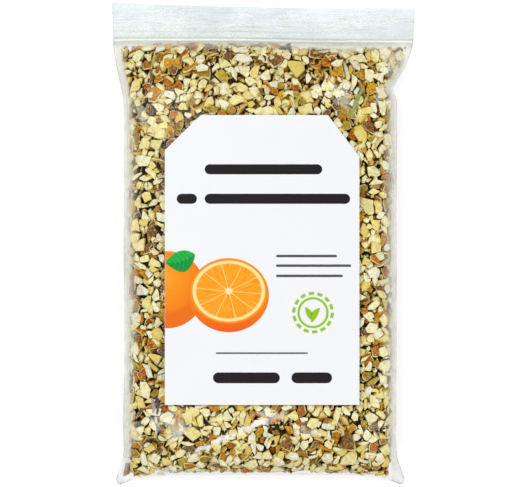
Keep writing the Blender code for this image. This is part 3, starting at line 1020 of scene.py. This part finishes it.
def make_core(field):
    """The mass under the loose flakes: rings round the bag's middle line at a set depth."""
    ys = np.linspace(BAG_LOW.y + CORE_MARGIN, SEAL_Y - CORE_MARGIN, CORE_ROWS)
    reach = np.linspace(0.0, CORE_REACH, CORE_STEPS)
    angle = 2 * math.pi * np.arange(CORE_CORNERS) / CORE_CORNERS
    way = np.stack([np.cos(angle), np.zeros(CORE_CORNERS), np.sin(angle)], -1)
    rings = []
    for y in ys:
        middle = CORE_MIDDLE + (0, y, 0)
        points = middle + way[:, None] * reach[None, :, None]
        inside = field.sample(points.reshape(-1, 3))[0].reshape(CORE_CORNERS, -1) < -CORE_DEPTH
        if inside[:, 0].all():
            rings.append(middle + way * reach[np.argmin(inside, axis=1)][:, None])
    ends = [rings[0].mean(0) - (0, CORE_TIP, 0), rings[-1].mean(0) + (0, CORE_TIP, 0)]
    points = np.concatenate(rings)
    points = np.concatenate([points + rng.normal(0, CORE_ROUGHNESS, points.shape), ends])
    index = numbered(len(rings), CORE_CORNERS)
    quads = grid_faces(closed(index))
    triangles = np.concatenate([quads[:, [0, 1, 2]], quads[:, [0, 2, 3]]]).tolist()
    start, stop = len(points) - 2, len(points) - 1
    triangles += [(start, index[0, i], index[0, i - 1]) for i in range(CORE_CORNERS)]
    triangles += [(stop, index[-1, i - 1], index[-1, i]) for i in range(CORE_CORNERS)]
    make_piece("peel_core", points, triangles, core_material())


# ---------------------------------------------------------------- the film

# Ridges where the film is creased: start, end, height and width, in metres.
CREASES = (
    ((-0.034, -0.111), (-0.018, -0.099), 0.0007, 0.0016),
    ((-0.018, -0.099), (-0.002, -0.0895), 0.0008, 0.0018),
    ((-0.002, -0.0895), (0.020, -0.0860), 0.0005, 0.0014),
    ((0.034, 0.0850), (0.046, 0.0690), 0.0004, 0.0014),
    ((0.052, 0.0720), (0.066, 0.0800), 0.0005, 0.0014),
)

# Painted highlights: streaks and patches of glare where the film is painted whitish: start, end, width and
# strength.
PAINTED_GLEAMS = (
    ((-0.0395, -0.1110), (-0.0235, -0.1030), 0.0026, 0.75),
    ((-0.0265, -0.1045), (-0.0105, -0.0965), 0.0036, 0.88),
    ((-0.0130, -0.0975), (0.0050, -0.0905), 0.0034, 0.86),
    ((-0.0500, -0.1015), (-0.0400, -0.0965), 0.0070, 0.55),
    ((0.0190, -0.0960), (0.0300, -0.0985), 0.0080, 0.35),
    ((0.0350, 0.0850), (0.0450, 0.0690), 0.0070, 0.34),
    ((0.0540, 0.0700), (0.0640, 0.0800), 0.0050, 0.35),
    ((-0.0680, 0.0800), (-0.0600, 0.0560), 0.0050, 0.30),
    ((-0.0560, -0.1195), (-0.0440, -0.1165), 0.0034, 0.55),
    ((0.0630, 0.1020), (0.0690, 0.0860), 0.0120, 0.36),
    ((0.0690, 0.0560), (0.0700, 0.0240), 0.0050, 0.30),
    ((0.0300, 0.1010), (0.0580, 0.1030), 0.0060, 0.30),
    ((-0.0600, -0.0900), (-0.0360, -0.0960), 0.0120, 0.34),
    ((-0.0040, -0.0870), (0.0130, -0.0900), 0.0060, 0.42),
    ((-0.0690, -0.0900), (-0.0660, -0.1040), 0.0070, 0.32),
)

# What tints the view through the header, from the seal up: the film, and the shadow beside the seal.
HEADER_TINTS = [
    (0.06, (244, 249, 247)), (0.34, (246, 250, 250)), (0.60, (248, 252, 253)), (1.0, (248, 253, 253)),
]
SEAL_SHADOWS = [
    (0.036, 1.0), (0.052, 0.82), (0.070, 0.95), (0.10, 0.99), (0.20, 1.0), (0.225, 0.93), (0.25, 1.0),
]


def painted_gleam_share(n, place, bend, breakup):
    """Painted highlights: how much white is painted on the film in glare streaks and patches, each a broken,
    soft-edged ellipse.
    """
    total = 0.0
    for (x0, y0), (x1, y1), width, strength in PAINTED_GLEAMS:
        local = n.add(
            "Mapping", {"vector_type": "TEXTURE"}, Vector=place, Location=((x0 + x1) / 2, (y0 + y1) / 2, 0),
            Rotation=(0, 0, math.atan2(y1 - y0, x1 - x0)),
            Scale=(math.hypot(x1 - x0, y1 - y0) / 2, width / 2, 1),
        )
        x, y, _ = n.split(local.outputs[0])
        y = n.plus(y, n.scaled(bend, 3.0, -1.5))
        away = n.plus(n.away(x, y), n.scaled(breakup, 3.2, -1.6))
        share = n.ramp(n.times(away, 0.6), [(0.0, strength), (0.9, 0.0)], "EASE")
        total = n.number("MAXIMUM", total, share)
    return total


def header_tint(n, place, along, above_seal, mid_header, rows):
    """The colour of what is seen through the header: paler and darker lines, zones, and the seal's shadow."""
    lines = n.blend(mid_header, 1.0, n.ramp(rows, [(0.36, 0.88), (0.45, 1.0)]))
    zones = n.ramp(n.noise(36, 2, place), [(0.38, (247, 248, 250)), (0.56, 1.0)])
    at_right = n.ramp(n.times(along, 10.0), [(0.40, 0.0), (0.66, 0.85)])
    shadow = n.blend(at_right, n.ramp(above_seal, SEAL_SHADOWS), 1.0)
    return n.multiplied(n.ramp(above_seal, HEADER_TINTS), (lines, zones, shadow))


def painted_header_highlights(n, lengthwise, soft, above_seal, mid_header, in_header, rows):
    """Painted highlights on the header and the seal: glints at the creases' edges, glare streaks, and a white
    line along the seal.
    """
    facets = n.add("TexVoronoi", {"feature": "DISTANCE_TO_EDGE"}, Vector=lengthwise, Scale=130.0).outputs[0]
    seal_highlight = n.ramp(n.number("ABSOLUTE", above_seal), [(0.0, 1.0), (0.018, 1.0), (0.036, 0.0)])
    glints = n.times(n.rise(facets, 0.06, 0.0), n.rise(soft, 0.46, 0.58))
    streaks = n.times(n.rise(rows, 0.54, 0.62), n.ramp(soft, [(0.36, 0.2), (0.50, 1.0)]))
    white = n.plus(n.times(glints, 0.85), n.times(streaks, 0.80))
    return n.plus(n.times(n.times(white, mid_header), in_header), n.times(seal_highlight, 0.95))


def film_material():
    """Clear film: it shows what is behind, mirrors a little, and is milky where it stands off the peel.
    Highlights and the shadow beside the seal are painted on it.
    """
    n = Nodes("clear_film")
    place = n.place()
    above_seal = n.attribute("above_seal")
    lengthwise = n.add("Mapping", Vector=place, Scale=(1.0, 6.0, 1.0)).outputs[0]
    along, up, _ = n.split(place)
    at_base = n.scaled(n.times(up, -10.0), 12.0, -13.6, clamp=True)
    beside_seal = n.add("CombineXYZ", X=n.times(along, 34.0), Y=n.times(above_seal, 24.0))
    rows = n.noise(1.0, 4, beside_seal.outputs[0], 0.62)
    in_header = n.rise(above_seal, 0.0, 0.02)
    mid_header = n.ramp(above_seal, [(0.10, 0.3), (0.30, 1.0), (0.66, 1.0), (0.86, 0.20)])
    soft = n.noise(60, 3, place)
    white = painted_header_highlights(n, lengthwise, soft, above_seal, mid_header, in_header, rows)
    painted_gleams = painted_gleam_share(n, place, n.noise(160, 1, place), n.noise(520, 3, place, 0.6))
    # The painted highlights join the haze, and show as milky white over the film.
    white = n.number("MAXIMUM", white, painted_gleams)
    haze = n.plus(n.times(n.attribute("veil"), n.scaled(soft, 0.5, 0.45)), white, clamp=True)

    crinkle = n.noise(120, 5, lengthwise, 0.65)
    height = n.plus(n.times(crinkle, in_header), n.times(n.noise(260, 2, place), 0.6))
    normal = n.bump(0.5, 0.001, height)
    tint = n.blend(in_header, (254, 254, 254), header_tint(n, place, along, above_seal, mid_header, rows))
    clear = n.add("BsdfTransparent", Color=tint)
    mirror = n.add("BsdfGlossy", Color=1.0, Roughness=0.12, Normal=normal)
    fresnel = n.add("Fresnel", IOR=1.5, Normal=normal).outputs[0]
    glassy = n.mix_shaders(n.number("MINIMUM", n.times(fresnel, 0.22), 0.08), clear, mirror)
    under_seal = n.rise(n.times(above_seal, -3.0), 0.66, 0.30)
    milk = n.blend(under_seal, n.blend(at_base, (240, 241, 232), (230, 236, 235)), (212, 213, 203))
    # Where highlights are painted, the milk is white.
    milk = n.blend(n.number("MINIMUM", white, 1.0), milk, (255, 255, 250))
    film = n.mix_shaders(haze, glassy, n.surface(milk, 0.45, 0.2, normal))
    passing = n.add("BsdfTransparent", Color=0.98)
    return n.finish(n.mix_shaders(n.add("LightPath").outputs["Is Shadow Ray"], film, passing))


def settle(height, support, lowest, rounds):
    """A sheet under tension: it hangs straight between the points that hold it up."""
    for _ in range(rounds):
        mean = height.copy()
        mean[1:-1, 1:-1] = (
            height[2:, 1:-1] + height[:-2, 1:-1] + height[1:-1, 2:] + height[1:-1, :-2]
        ) / 4
        height = np.maximum(np.maximum(mean, support), lowest)
    return height


def widest(values):
    """The highest value among each grid point and its eight neighbours."""
    return np.maximum.reduce([np.roll(values, (i, j), (0, 1)) for i in (-1, 0, 1) for j in (-1, 0, 1)])


def averaged(values, rounds):
    """Values smoothed over the grid."""
    for _ in range(rounds):
        padded = np.pad(values, 1, mode="edge")
        values = (
            padded[2:, 1:-1] + padded[:-2, 1:-1] + padded[1:-1, 2:] + padded[1:-1, :-2] + 4 * values
        ) / 8
    return values


def crease_heights(x, y):
    """Height of the creases above the film at each point."""
    total = np.zeros(x.shape)
    for (x0, y0), (x1, y1), height, width in CREASES:
        length = math.hypot(x1 - x0, y1 - y0)
        along = ((x - x0) * (x1 - x0) + (y - y0) * (y1 - y0)) / length
        aside = ((y - y0) * (x1 - x0) - (x - x0) * (y1 - y0)) / length
        aside += 0.0006 * np.sin(along * 900)
        beyond = np.maximum(0, np.maximum(-along, along - length))
        total += height * np.exp(-np.abs(aside) / width * 1.4) * np.exp(-((beyond / 0.003) ** 2))
    return total


def side_distance(plan):
    """How far each grid point is from the nearer side of the plan."""
    flat = plan[:, :, :2]
    return np.minimum(np.linalg.norm(flat - flat[:, :1], axis=2), np.linalg.norm(flat - flat[:, -1:], axis=2))


def film_heights(plan, peel, way):
    """Heights of the front film for way 1, or the back film for way -1, settled onto the peel."""
    rows, columns = plan.shape[:2]
    outer = plan[..., 2].copy()
    support = np.full(outer.shape, -1.0)
    for r in range(rows):
        for c in range(1, columns - 1):
            x, y = plan[r, c, :2]
            found = drop(BAG_TREE, x, y, -way)
            if found is not None:
                outer[r, c] = found
            met = drop(peel, x, y, -way)
            if met is not None:
                support[r, c] = met * way
    from_side = side_distance(plan)
    held = (plan[..., 2] + (outer - plan[..., 2]) * smooth_step(0, SIDE_CLOSED, from_side)) * way
    under_seal = seal_height_at(plan[..., 0]) - plan[..., 1]
    resting = np.minimum(widest(support) + FILM_LIFT, held + FILM_SLACK)
    sink = FILM_SINK * smooth_step(0.0005, 0.008, under_seal) * smooth_step(0, 0.006, from_side)
    settled = settle(held, np.where(under_seal > SEAL_HELD, resting, held), held - sink, FILM_ROUNDS)
    return np.where(under_seal > SEAL_HELD, settled, held) * way


def header_ripples(plan):
    """Fine lengthwise ripples of the header's free film."""
    x, y = plan[..., 0], plan[..., 1]
    above = (y - seal_height_at(x)) / HEADER_LENGTH
    total = np.zeros(x.shape)
    for _ in range(RIPPLES):
        wave_y, wave_x = rng.uniform(900, 3200), rng.normal(0, 110)
        patch_x, patch_size = rng.uniform(BAG_LOW.x, BAG_HIGH.x), rng.uniform(0.012, 0.040)
        inside_patch = np.exp(-(((x - patch_x) / patch_size) ** 2))
        total += inside_patch * np.sin(wave_y * y + wave_x * x + rng.uniform(0, 6.3)) * 90 / wave_y
    strength = smooth_step(0.0, 0.12, above) * (0.35 + 0.65 * np.exp(-(((above - 0.45) / 0.30) ** 2)))
    return total * strength * RIPPLE_SIZE


def film_sheets(plan, peel):
    """The front and the back film as grids of points."""
    front, back = plan.copy(), plan.copy()
    front[..., 2] = film_heights(plan, peel, 1)
    back[..., 2] = film_heights(plan, peel, -1)
    ripples = header_ripples(plan)
    edge = np.sin(np.linspace(0, math.pi, plan.shape[1])) ** 0.25
    front[..., 2] += crease_heights(plan[..., 0], plan[..., 1]) + ripples * edge
    back[..., 2] = np.maximum(back[..., 2] + ripples * edge, 0.0)
    front[..., 2] = np.maximum(front[..., 2], back[..., 2])
    front[0, :, 2] = plan[0, :, 2]
    return front, back


def film_veils(plan, peel, sheets):
    """How milky each point of both sheets is: where the film stands off the peel, and at sides and seal."""
    from_side = side_distance(plan)
    below_seal = seal_height_at(plan[..., 0]) - plan[..., 1]
    above_base = plan[..., 1] - plan[:1, :, 1]
    inner = smooth_step(0.003, 0.009, np.minimum(np.minimum(from_side, below_seal), above_base))
    in_pouch = smooth_step(-0.002, 0.0, below_seal)
    fade_from, fade_to = EDGE_FADE
    fade_to = fade_to - ENDS_EASED * smooth_step(*ENDS_FROM, np.abs(plan[..., 1]))
    at_edge = EDGE_VEIL * (1 - smooth_step(fade_from, fade_to, from_side)) * smooth_step(0, 0.0020, from_side)
    at_seal = SEAL_VEIL * (1 - smooth_step(*SEAL_FADE, below_seal)) * smooth_step(0, 0.0006, below_seal)
    veils = []
    for sheet in sheets:
        off = np.array([peel.find_nearest(Vector(p))[3] for p in sheet.reshape(-1, 3)])
        off = averaged(np.minimum(off.reshape(from_side.shape), 0.005), 6)
        far_off = smooth_step(*OFF_PEEL, off) * (1 - 0.9 * inner)
        veils.append(np.maximum.reduce([far_off, at_edge, at_seal]) * in_pouch)
    return np.concatenate([v.ravel() for v in veils])


def make_film(peel):
    """The film's front and back, joined at the sides and the base. Returns a search tree of its front."""
    plan = film_plan()
    rows, columns = plan.shape[:2]
    front, back = film_sheets(plan, peel)
    points = np.concatenate([front.reshape(-1, 3), back.reshape(-1, 3)])
    front_index = numbered(rows, columns)
    back_index = front_index + rows * columns
    for shared in ((slice(None), 0), (slice(None), -1), (0, slice(None))):
        back_index[shared] = front_index[shared]
    faces = np.concatenate([grid_faces(front_index), grid_faces(back_index, turned=True)])
    used, faces = np.unique(faces, return_inverse=True)
    points = points[used]
    film = make_piece("film", points, faces.reshape(-1, 4), film_material())
    add_attribute(film, "veil", film_veils(plan, peel, (front, back))[used])
    add_attribute(film, "above_seal", (points[:, 1] - seal_height_at(points[:, 0])) / HEADER_LENGTH)
    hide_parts("bag")
    return tree_of([(front.reshape(-1, 3), grid_faces(front_index))])


# ---------------------------------------------------------------- the label


def paper_material():
    n = Nodes("label_paper")
    place = n.place()
    fibre = n.noise(900, 4, place)
    colour = n.blend(n.times(n.noise(60, 3, place), 0.5), (248, 249, 252), (240, 242, 247))
    colour = n.blend(n.times(fibre, 0.15), colour, (228, 232, 240))
    return n.finish(n.surface(colour, 0.55, normal=n.bump(0.15, 0.0001, fibre)))


def label_edge(y, side):
    width, height = RIGHT_CUT if side > 0 else LEFT_CUT
    edge = LABEL_HIGH.x if side > 0 else LABEL_LOW.x
    return edge - side * width * max(0.0, (y - (LABEL_HIGH.y - height)) / height)


def label_rows():
    """Y of the paper's rows, with one where each corner cut begins."""
    breaks = [LABEL_LOW.y, LABEL_HIGH.y - RIGHT_CUT[1], LABEL_HIGH.y - LEFT_CUT[1], LABEL_HIGH.y]
    ys = []
    for low, high in zip(breaks, breaks[1:]):
        count = max(2, round(PAPER_ROWS * (high - low) / (LABEL_HIGH.y - LABEL_LOW.y)))
        ys += list(np.linspace(low, high, count, endpoint=False))
    return ys + [LABEL_HIGH.y]


def make_label(film):
    """The paper, settled onto the film. Returns a search tree of its upper side."""
    ys = label_rows()
    upper = np.empty((len(ys), PAPER_COLUMNS + 1, 3))
    for row, y in zip(upper, ys):
        row[:, 0] = np.linspace(label_edge(y, -1), label_edge(y, 1), PAPER_COLUMNS + 1)
        row[:, 1] = y
        row[:, 2] = [drop(film, x, y) for x in row[:, 0]]
    held = widest(averaged(upper[..., 2], 2)) + PAPER_THICKNESS + PAPER_GAP
    height = settle(averaged(held, 60) + PAPER_START, held, held, PAPER_ROUNDS)
    height[[0, -1]], height[:, [0, -1]] = height[[1, -2]], height[:, [1, -2]]
    upper[..., 2] = averaged(height, 2)
    lower = upper - (0, 0, PAPER_THICKNESS)
    index = numbered(*upper.shape[:2])
    count = index.size
    rim = np.concatenate([index[0, :-1], index[:-1, -1], index[-1, :0:-1], index[:0:-1, 0]])
    after = np.roll(rim, -1)
    sides = np.stack([after, rim, rim + count, after + count], -1)
    faces = np.concatenate([grid_faces(index), grid_faces(index + count, turned=True), sides])
    points = np.concatenate([upper.reshape(-1, 3), lower.reshape(-1, 3)])
    label = make_piece("label_paper", points, faces, paper_material(), sharp_angle=40)
    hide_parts("label")
    return tree_of([(upper.reshape(-1, 3), grid_faces(index))])


# ---------------------------------------------------------------- the print

INK, GREY_INK, GREEN = (24, 14, 18), (84, 78, 82), (146, 192, 30)
LEAF_LIGHT, LEAF_DARK = (18, 176, 66), (0, 148, 62)
TAPER = 0.00002  # half width that is left where a printed shape runs out

# The bars in the places of words: left end, right end, Y and height.
TITLE_BARS = (
    (-0.0305, 0.0305, 0.0385, 0.0052), (-0.0450, -0.0345, 0.0232, 0.0052), (-0.0305, 0.0450, 0.0232, 0.0052),
    (-0.0262, 0.0085, -0.0697, 0.0056), (0.0145, 0.0356, -0.0697, 0.0056),
)
LINE_BARS = (
    (0.0065, 0.0382, -0.0065, 0.0013), (0.0065, 0.0455, -0.0115, 0.0013), (0.0065, 0.0412, -0.0168, 0.0013),
    (-0.0247, 0.0231, -0.0569, 0.0008),
)
BADGE_X, BADGE_Y, BADGE_DASHES, DASH_SHARE = 0.0257, -0.0359, 14, 0.62


class Shapes:
    """Flat shapes collected into one printed piece. Each is a grid of points with its own -1 to 1 places."""

    def __init__(self):
        self.points, self.faces, self.places, self.count = [], [], [], 0

    def grid(self, x, y, u, v):
        """One shape. The four may be of different shapes that spread to one grid."""
        x, y, u, v = np.broadcast_arrays(x, y, u, v)
        self.faces.append(grid_faces(numbered(*x.shape) + self.count))
        self.points.append(np.stack([x.ravel(), y.ravel()], -1))
        self.places.append(np.stack([u.ravel(), v.ravel(), np.zeros(u.size)], -1))
        self.count += x.size

    def bar(self, x0, x1, y, height):
        """A bar with round ends."""
        r = height / 2
        ends = r * (1 - np.cos(np.linspace(0, math.pi / 2, 6)))
        inner = np.linspace(x0 + r, x1 - r, max(3, round((x1 - x0) / 0.002)))[1:-1]
        xs = np.concatenate([x0 + ends, inner, x1 - ends[::-1]])
        from_end = np.clip(np.minimum(xs - x0, x1 - xs), 0, r)
        half = np.maximum(np.sqrt(r * r - (r - from_end) ** 2), TAPER)
        v = np.linspace(-1, 1, 2 * max(2, math.ceil(half.max() / 0.0022)) + 1)[:, None]
        self.grid(xs, y + v * half, np.linspace(-1, 1, len(xs)), v)

    def ellipse(self, x, y, reach_x, reach_y, from_x=-math.inf):
        """An ellipse, cut off straight at the left where from_x is given."""
        start = math.acos(max(-1.0, min(1.0, (from_x - x) / reach_x))) if from_x > x - reach_x else math.pi
        angle = np.linspace(start, 0, 56)
        xs = x + reach_x * np.cos(angle)
        ys = y + np.linspace(-1, 1, 31)[:, None] * np.maximum(reach_y * np.sin(angle), TAPER)
        self.grid(xs, ys, (xs - x) / reach_x, (ys - y) / reach_y)

    def arc(self, x, y, radius, width, start, end):
        """A band along a circle, with angles in turns."""
        angle = 2 * math.pi * np.linspace(start, end, max(4, round(abs(end - start) * 72)))
        r = radius + width * np.array([-0.5, 0.5])[:, None]
        self.grid(x - r * np.cos(angle), y + r * np.sin(angle), 0.0, 0.0)

    def leaf(self, x0, y0, x1, y1, width, bend=0.0):
        """A leaf from its base to its tip."""
        t = 0.5 - 0.5 * np.cos(np.linspace(0, math.pi, 22))
        v = np.linspace(-1, 1, 9)[:, None]
        half = np.maximum(width / 2 * np.sin(math.pi * t) ** 0.8 * (1.15 - 0.3 * t), TAPER)
        length = math.hypot(x1 - x0, y1 - y0)
        ahead, aside = ((x1 - x0) / length, (y1 - y0) / length), (-(y1 - y0) / length, (x1 - x0) / length)
        off = v * half + bend * length * np.sin(math.pi * t)
        x = x0 + ahead[0] * t * length + aside[0] * off
        y = y0 + ahead[1] * t * length + aside[1] * off
        self.grid(x, y, 2 * t - 1, v)

    def lay(self, name, paper, material, layer=1):
        """The piece, dropped onto the paper. A higher layer lies over a lower one."""
        flat = np.concatenate(self.points)
        heights = [drop(paper, x, y) for x, y in flat]
        lifted = np.column_stack([flat, np.array(heights, float) + PRINT_LIFT * layer])
        piece = make_piece(name, lifted, np.concatenate(self.faces), material)
        add_attribute(piece, "place", np.concatenate(self.places))


def printed(n, colour):
    """A print's material, with the ink's dull sheen."""
    return n.finish(n.surface(colour, 0.6, 0.2))


def ink_material(name, colour):
    """Flat printing ink, slightly uneven."""
    n = Nodes(name)
    speck = n.noise(1800, 2, n.place())
    lighter = tuple(min(1.0, c * 1.25 + 0.006) for c in colour_of(colour)[:3]) + (1.0,)
    return printed(n, n.blend(n.times(speck, 0.6), colour, lighter))


def with_pores(n, colour, share, pore_colour):
    """An orange's skin as it is drawn, slightly mottled."""
    return printed(n, n.blend(n.times(n.noise(1300, 2, n.place()), share), colour, pore_colour))


def whole_orange_material():
    n = Nodes("print_orange")
    u, v, _ = n.split(n.attribute("place", "Vector"))
    away = n.away(n.number("SUBTRACT", u, -0.10), n.number("SUBTRACT", v, 0.32))
    colour = n.ramp(n.number("SQRT", away), [
        (0.0, (255, 176, 60)), (0.35, (255, 158, 20)), (0.85, (252, 136, 4)), (1.0, (240, 112, 8))])
    return with_pores(n, colour, 0.35, (238, 118, 10))


def rind_material():
    n = Nodes("print_rind")
    _, v, _ = n.split(n.attribute("place", "Vector"))
    stops = [(0.0, (246, 92, 6)), (0.3, (255, 128, 2)), (1.0, (255, 150, 10))]
    return with_pores(n, n.ramp(n.scaled(v, 0.5, 0.5), stops), 0.3, (236, 96, 10))


def cut_face_material():
    """The cut half: rind, pale rim, and segments with pale skins between them round a pale middle."""
    n = Nodes("print_cut_orange")
    u, v, _ = n.split(n.attribute("place", "Vector"))
    away = n.number("SQRT", n.away(u, v))
    angle = n.number("ARCTAN2", v, u)
    streaks = n.noise(3.0, 3, n.add("CombineXYZ", X=n.times(angle, 9.0), Y=away, Z=0.0).outputs[0])
    colour = n.ramp(streaks, [(0.35, (255, 140, 4)), (0.52, (255, 166, 22)), (0.70, (255, 190, 70))])
    between = n.number("ABSOLUTE", n.number("SINE", n.scaled(angle, 5.0, 0.5)))
    wall = n.rise(n.times(between, away), 0.075, 0.035)
    middle, rim, rind = n.rise(away, 0.12, 0.07), n.rise(away, 0.83, 0.87), n.rise(away, 0.93, 0.95)
    for share, over in (
        (wall, (255, 214, 120)), (middle, (255, 232, 170)), (rim, (255, 233, 160)), (rind, (255, 150, 10))
    ):
        colour = n.blend(share, colour, over)
    return printed(n, colour)


def leaf_material():
    n = Nodes("print_leaf")
    u, v, _ = n.split(n.attribute("place", "Vector"))
    colour = n.blend(n.rise(n.scaled(v, 0.5, 0.5), 0.47, 0.51), LEAF_LIGHT, LEAF_DARK)
    veins = n.number("SINE", n.scaled(u, 22.0, n.times(n.number("ABSOLUTE", v), -7.0)))
    return printed(n, n.blend(n.ramp(veins, [(0.80, 0.0), (1.0, 0.25)]), colour, (120, 214, 120)))


def make_words(paper):
    """Plain bars in the places of the title, the description, the rule and the weight."""
    for name, bars, ink in (("print_title", TITLE_BARS, INK), ("print_lines", LINE_BARS, GREY_INK)):
        words = Shapes()
        for bar in bars:
            words.bar(*bar)
        words.lay(name, paper, ink_material(name, ink))


def make_badge(paper):
    """A green ring with a dashed ring round it and a sprig inside."""
    x, y = BADGE_X, BADGE_Y
    badge = Shapes()
    badge.arc(x, y, 0.0075, 0.0012, 0, 1)
    for dash in range(BADGE_DASHES):
        badge.arc(x, y, 0.0100, 0.0016, dash / BADGE_DASHES, (dash + DASH_SHARE) / BADGE_DASHES)
    badge.leaf(x - 0.0008, y - 0.0050, x + 0.0036, y + 0.0026, 0.0034, 0.08)
    badge.leaf(x - 0.0014, y - 0.0034, x - 0.0040, y + 0.0030, 0.0030, -0.08)
    badge.lay("print_badge", paper, ink_material("print_badge", GREEN))


def make_picture(paper):
    """A whole orange that runs off the label's edge, a cut half before it, and a leaf."""
    edge = LABEL_LOW.x + 0.0001
    whole, rind, face, leaves = Shapes(), Shapes(), Shapes(), Shapes()
    whole.ellipse(-0.0500, -0.0240, 0.0196, 0.0200, edge)
    whole.lay("print_orange", paper, whole_orange_material())
    rind.ellipse(-0.0180, -0.0268, 0.0208, 0.0192)
    rind.lay("print_rind", paper, rind_material(), 2)
    face.ellipse(-0.0180, -0.0247, 0.0200, 0.0168)
    face.lay("print_cut_orange", paper, cut_face_material(), 3)
    leaves.leaf(-0.0355, -0.0058, edge + 0.0002, -0.0100, 0.0110, 0.10)
    leaves.lay("print_leaf", paper, leaf_material(), 2)


# ---------------------------------------------------------------- stage

FLOOR_GLOW = 0.77  # the part of the floor's white that no shadow darkens
FLOOR_HALF, FLOOR_Z = 3.0, -0.0002
WORLD_STRENGTH = 0.26
# The lamps: place, size and power.
LAMPS = {"key": ((-0.85, 0.65, 2.05), 1.1, 32.0), "fill": ((1.4, -0.9, 1.5), 1.2, 19.0)}


def make_floor():
    """A pale floor that the camera sees as white, with the bag's soft shadow on it."""
    n = Nodes("studio_floor")
    cloud = n.noise(3, 3, n.place())
    surface = n.add("BsdfDiffuse", Color=n.blend(cloud, 0.86, 0.90))
    seen_by_camera = n.add("AddShader")
    n.put(seen_by_camera, 0, n.add("BsdfDiffuse", Color=n.blend(cloud, 0.27, 0.28)).outputs[0])
    n.put(seen_by_camera, 1, n.add("Emission", Color=1.0, Strength=FLOOR_GLOW).outputs[0])
    path = n.add("LightPath").outputs
    seen = n.number("MAXIMUM", path["Is Camera Ray"], path["Is Transmission Ray"])
    mesh = bpy.data.meshes.new("floor")
    corners = [(x * FLOOR_HALF, y * FLOOR_HALF, 0) for x, y in ((-1, -1), (1, -1), (1, 1), (-1, 1))]
    mesh.from_pydata(corners, [], [(0, 1, 2, 3)])
    mesh.materials.append(n.finish(n.mix_shaders(seen, surface, seen_by_camera)))
    made = link_new("floor", mesh)
    made.location.z = FLOOR_Z


def make_world():
    world = bpy.data.worlds.new("studio")
    bpy.context.scene.world = world
    world.use_nodes = True
    background = world.node_tree.nodes["Background"]
    background.inputs["Color"].default_value = (1, 1, 1, 1)
    background.inputs["Strength"].default_value = WORLD_STRENGTH


def make_lights():
    for name, (place, size, power) in LAMPS.items():
        data = bpy.data.lights.new(name, "AREA")
        data.size = size
        data.energy = power
        lamp = link_new(name, data)
        lamp.location = place
        lamp.rotation_mode = "QUATERNION"
        lamp.rotation_quaternion = (-Vector(place)).to_track_quat("-Z", "Y")


def make_camera():
    data = bpy.data.cameras.new("camera")
    data.sensor_width = SENSOR
    data.lens = SENSOR * CAMERA_HEIGHT / VIEW_WIDTH
    camera = link_new("camera", data)
    camera.location = (CAMERA_X, CAMERA_Y, BAG_HIGH.z + CAMERA_HEIGHT)
    bpy.context.scene.camera = camera


bag_field = DistanceField()
flakes, flake_kinds = packed_flakes(bag_field)
parts = [batch.part() for batch in flakes]
loose = [deep_flakes(bag_field), crumbs(bag_field, tree_of(parts))]
paint_shade_in_nooks(bag_field, tree_of([*parts, loose[1].part()]), [*flakes, loose[1]])
make_flakes(flakes, flake_kinds)
for loose_name, batch in zip(("peel_deep", "peel_crumbs"), loose):
    peel_piece(loose_name, peel_material(loose_name, MIXED_SKIN), [(batch, slice(None))])
make_core(bag_field)
film_tree = make_film(tree_of([*parts, make_stalks()]))
paper_tree = make_label(film_tree)
make_words(paper_tree)
make_badge(paper_tree)
make_picture(paper_tree)
make_floor()
make_world()
make_lights()
make_camera()
bpy.context.scene.view_settings.view_transform = "Standard"
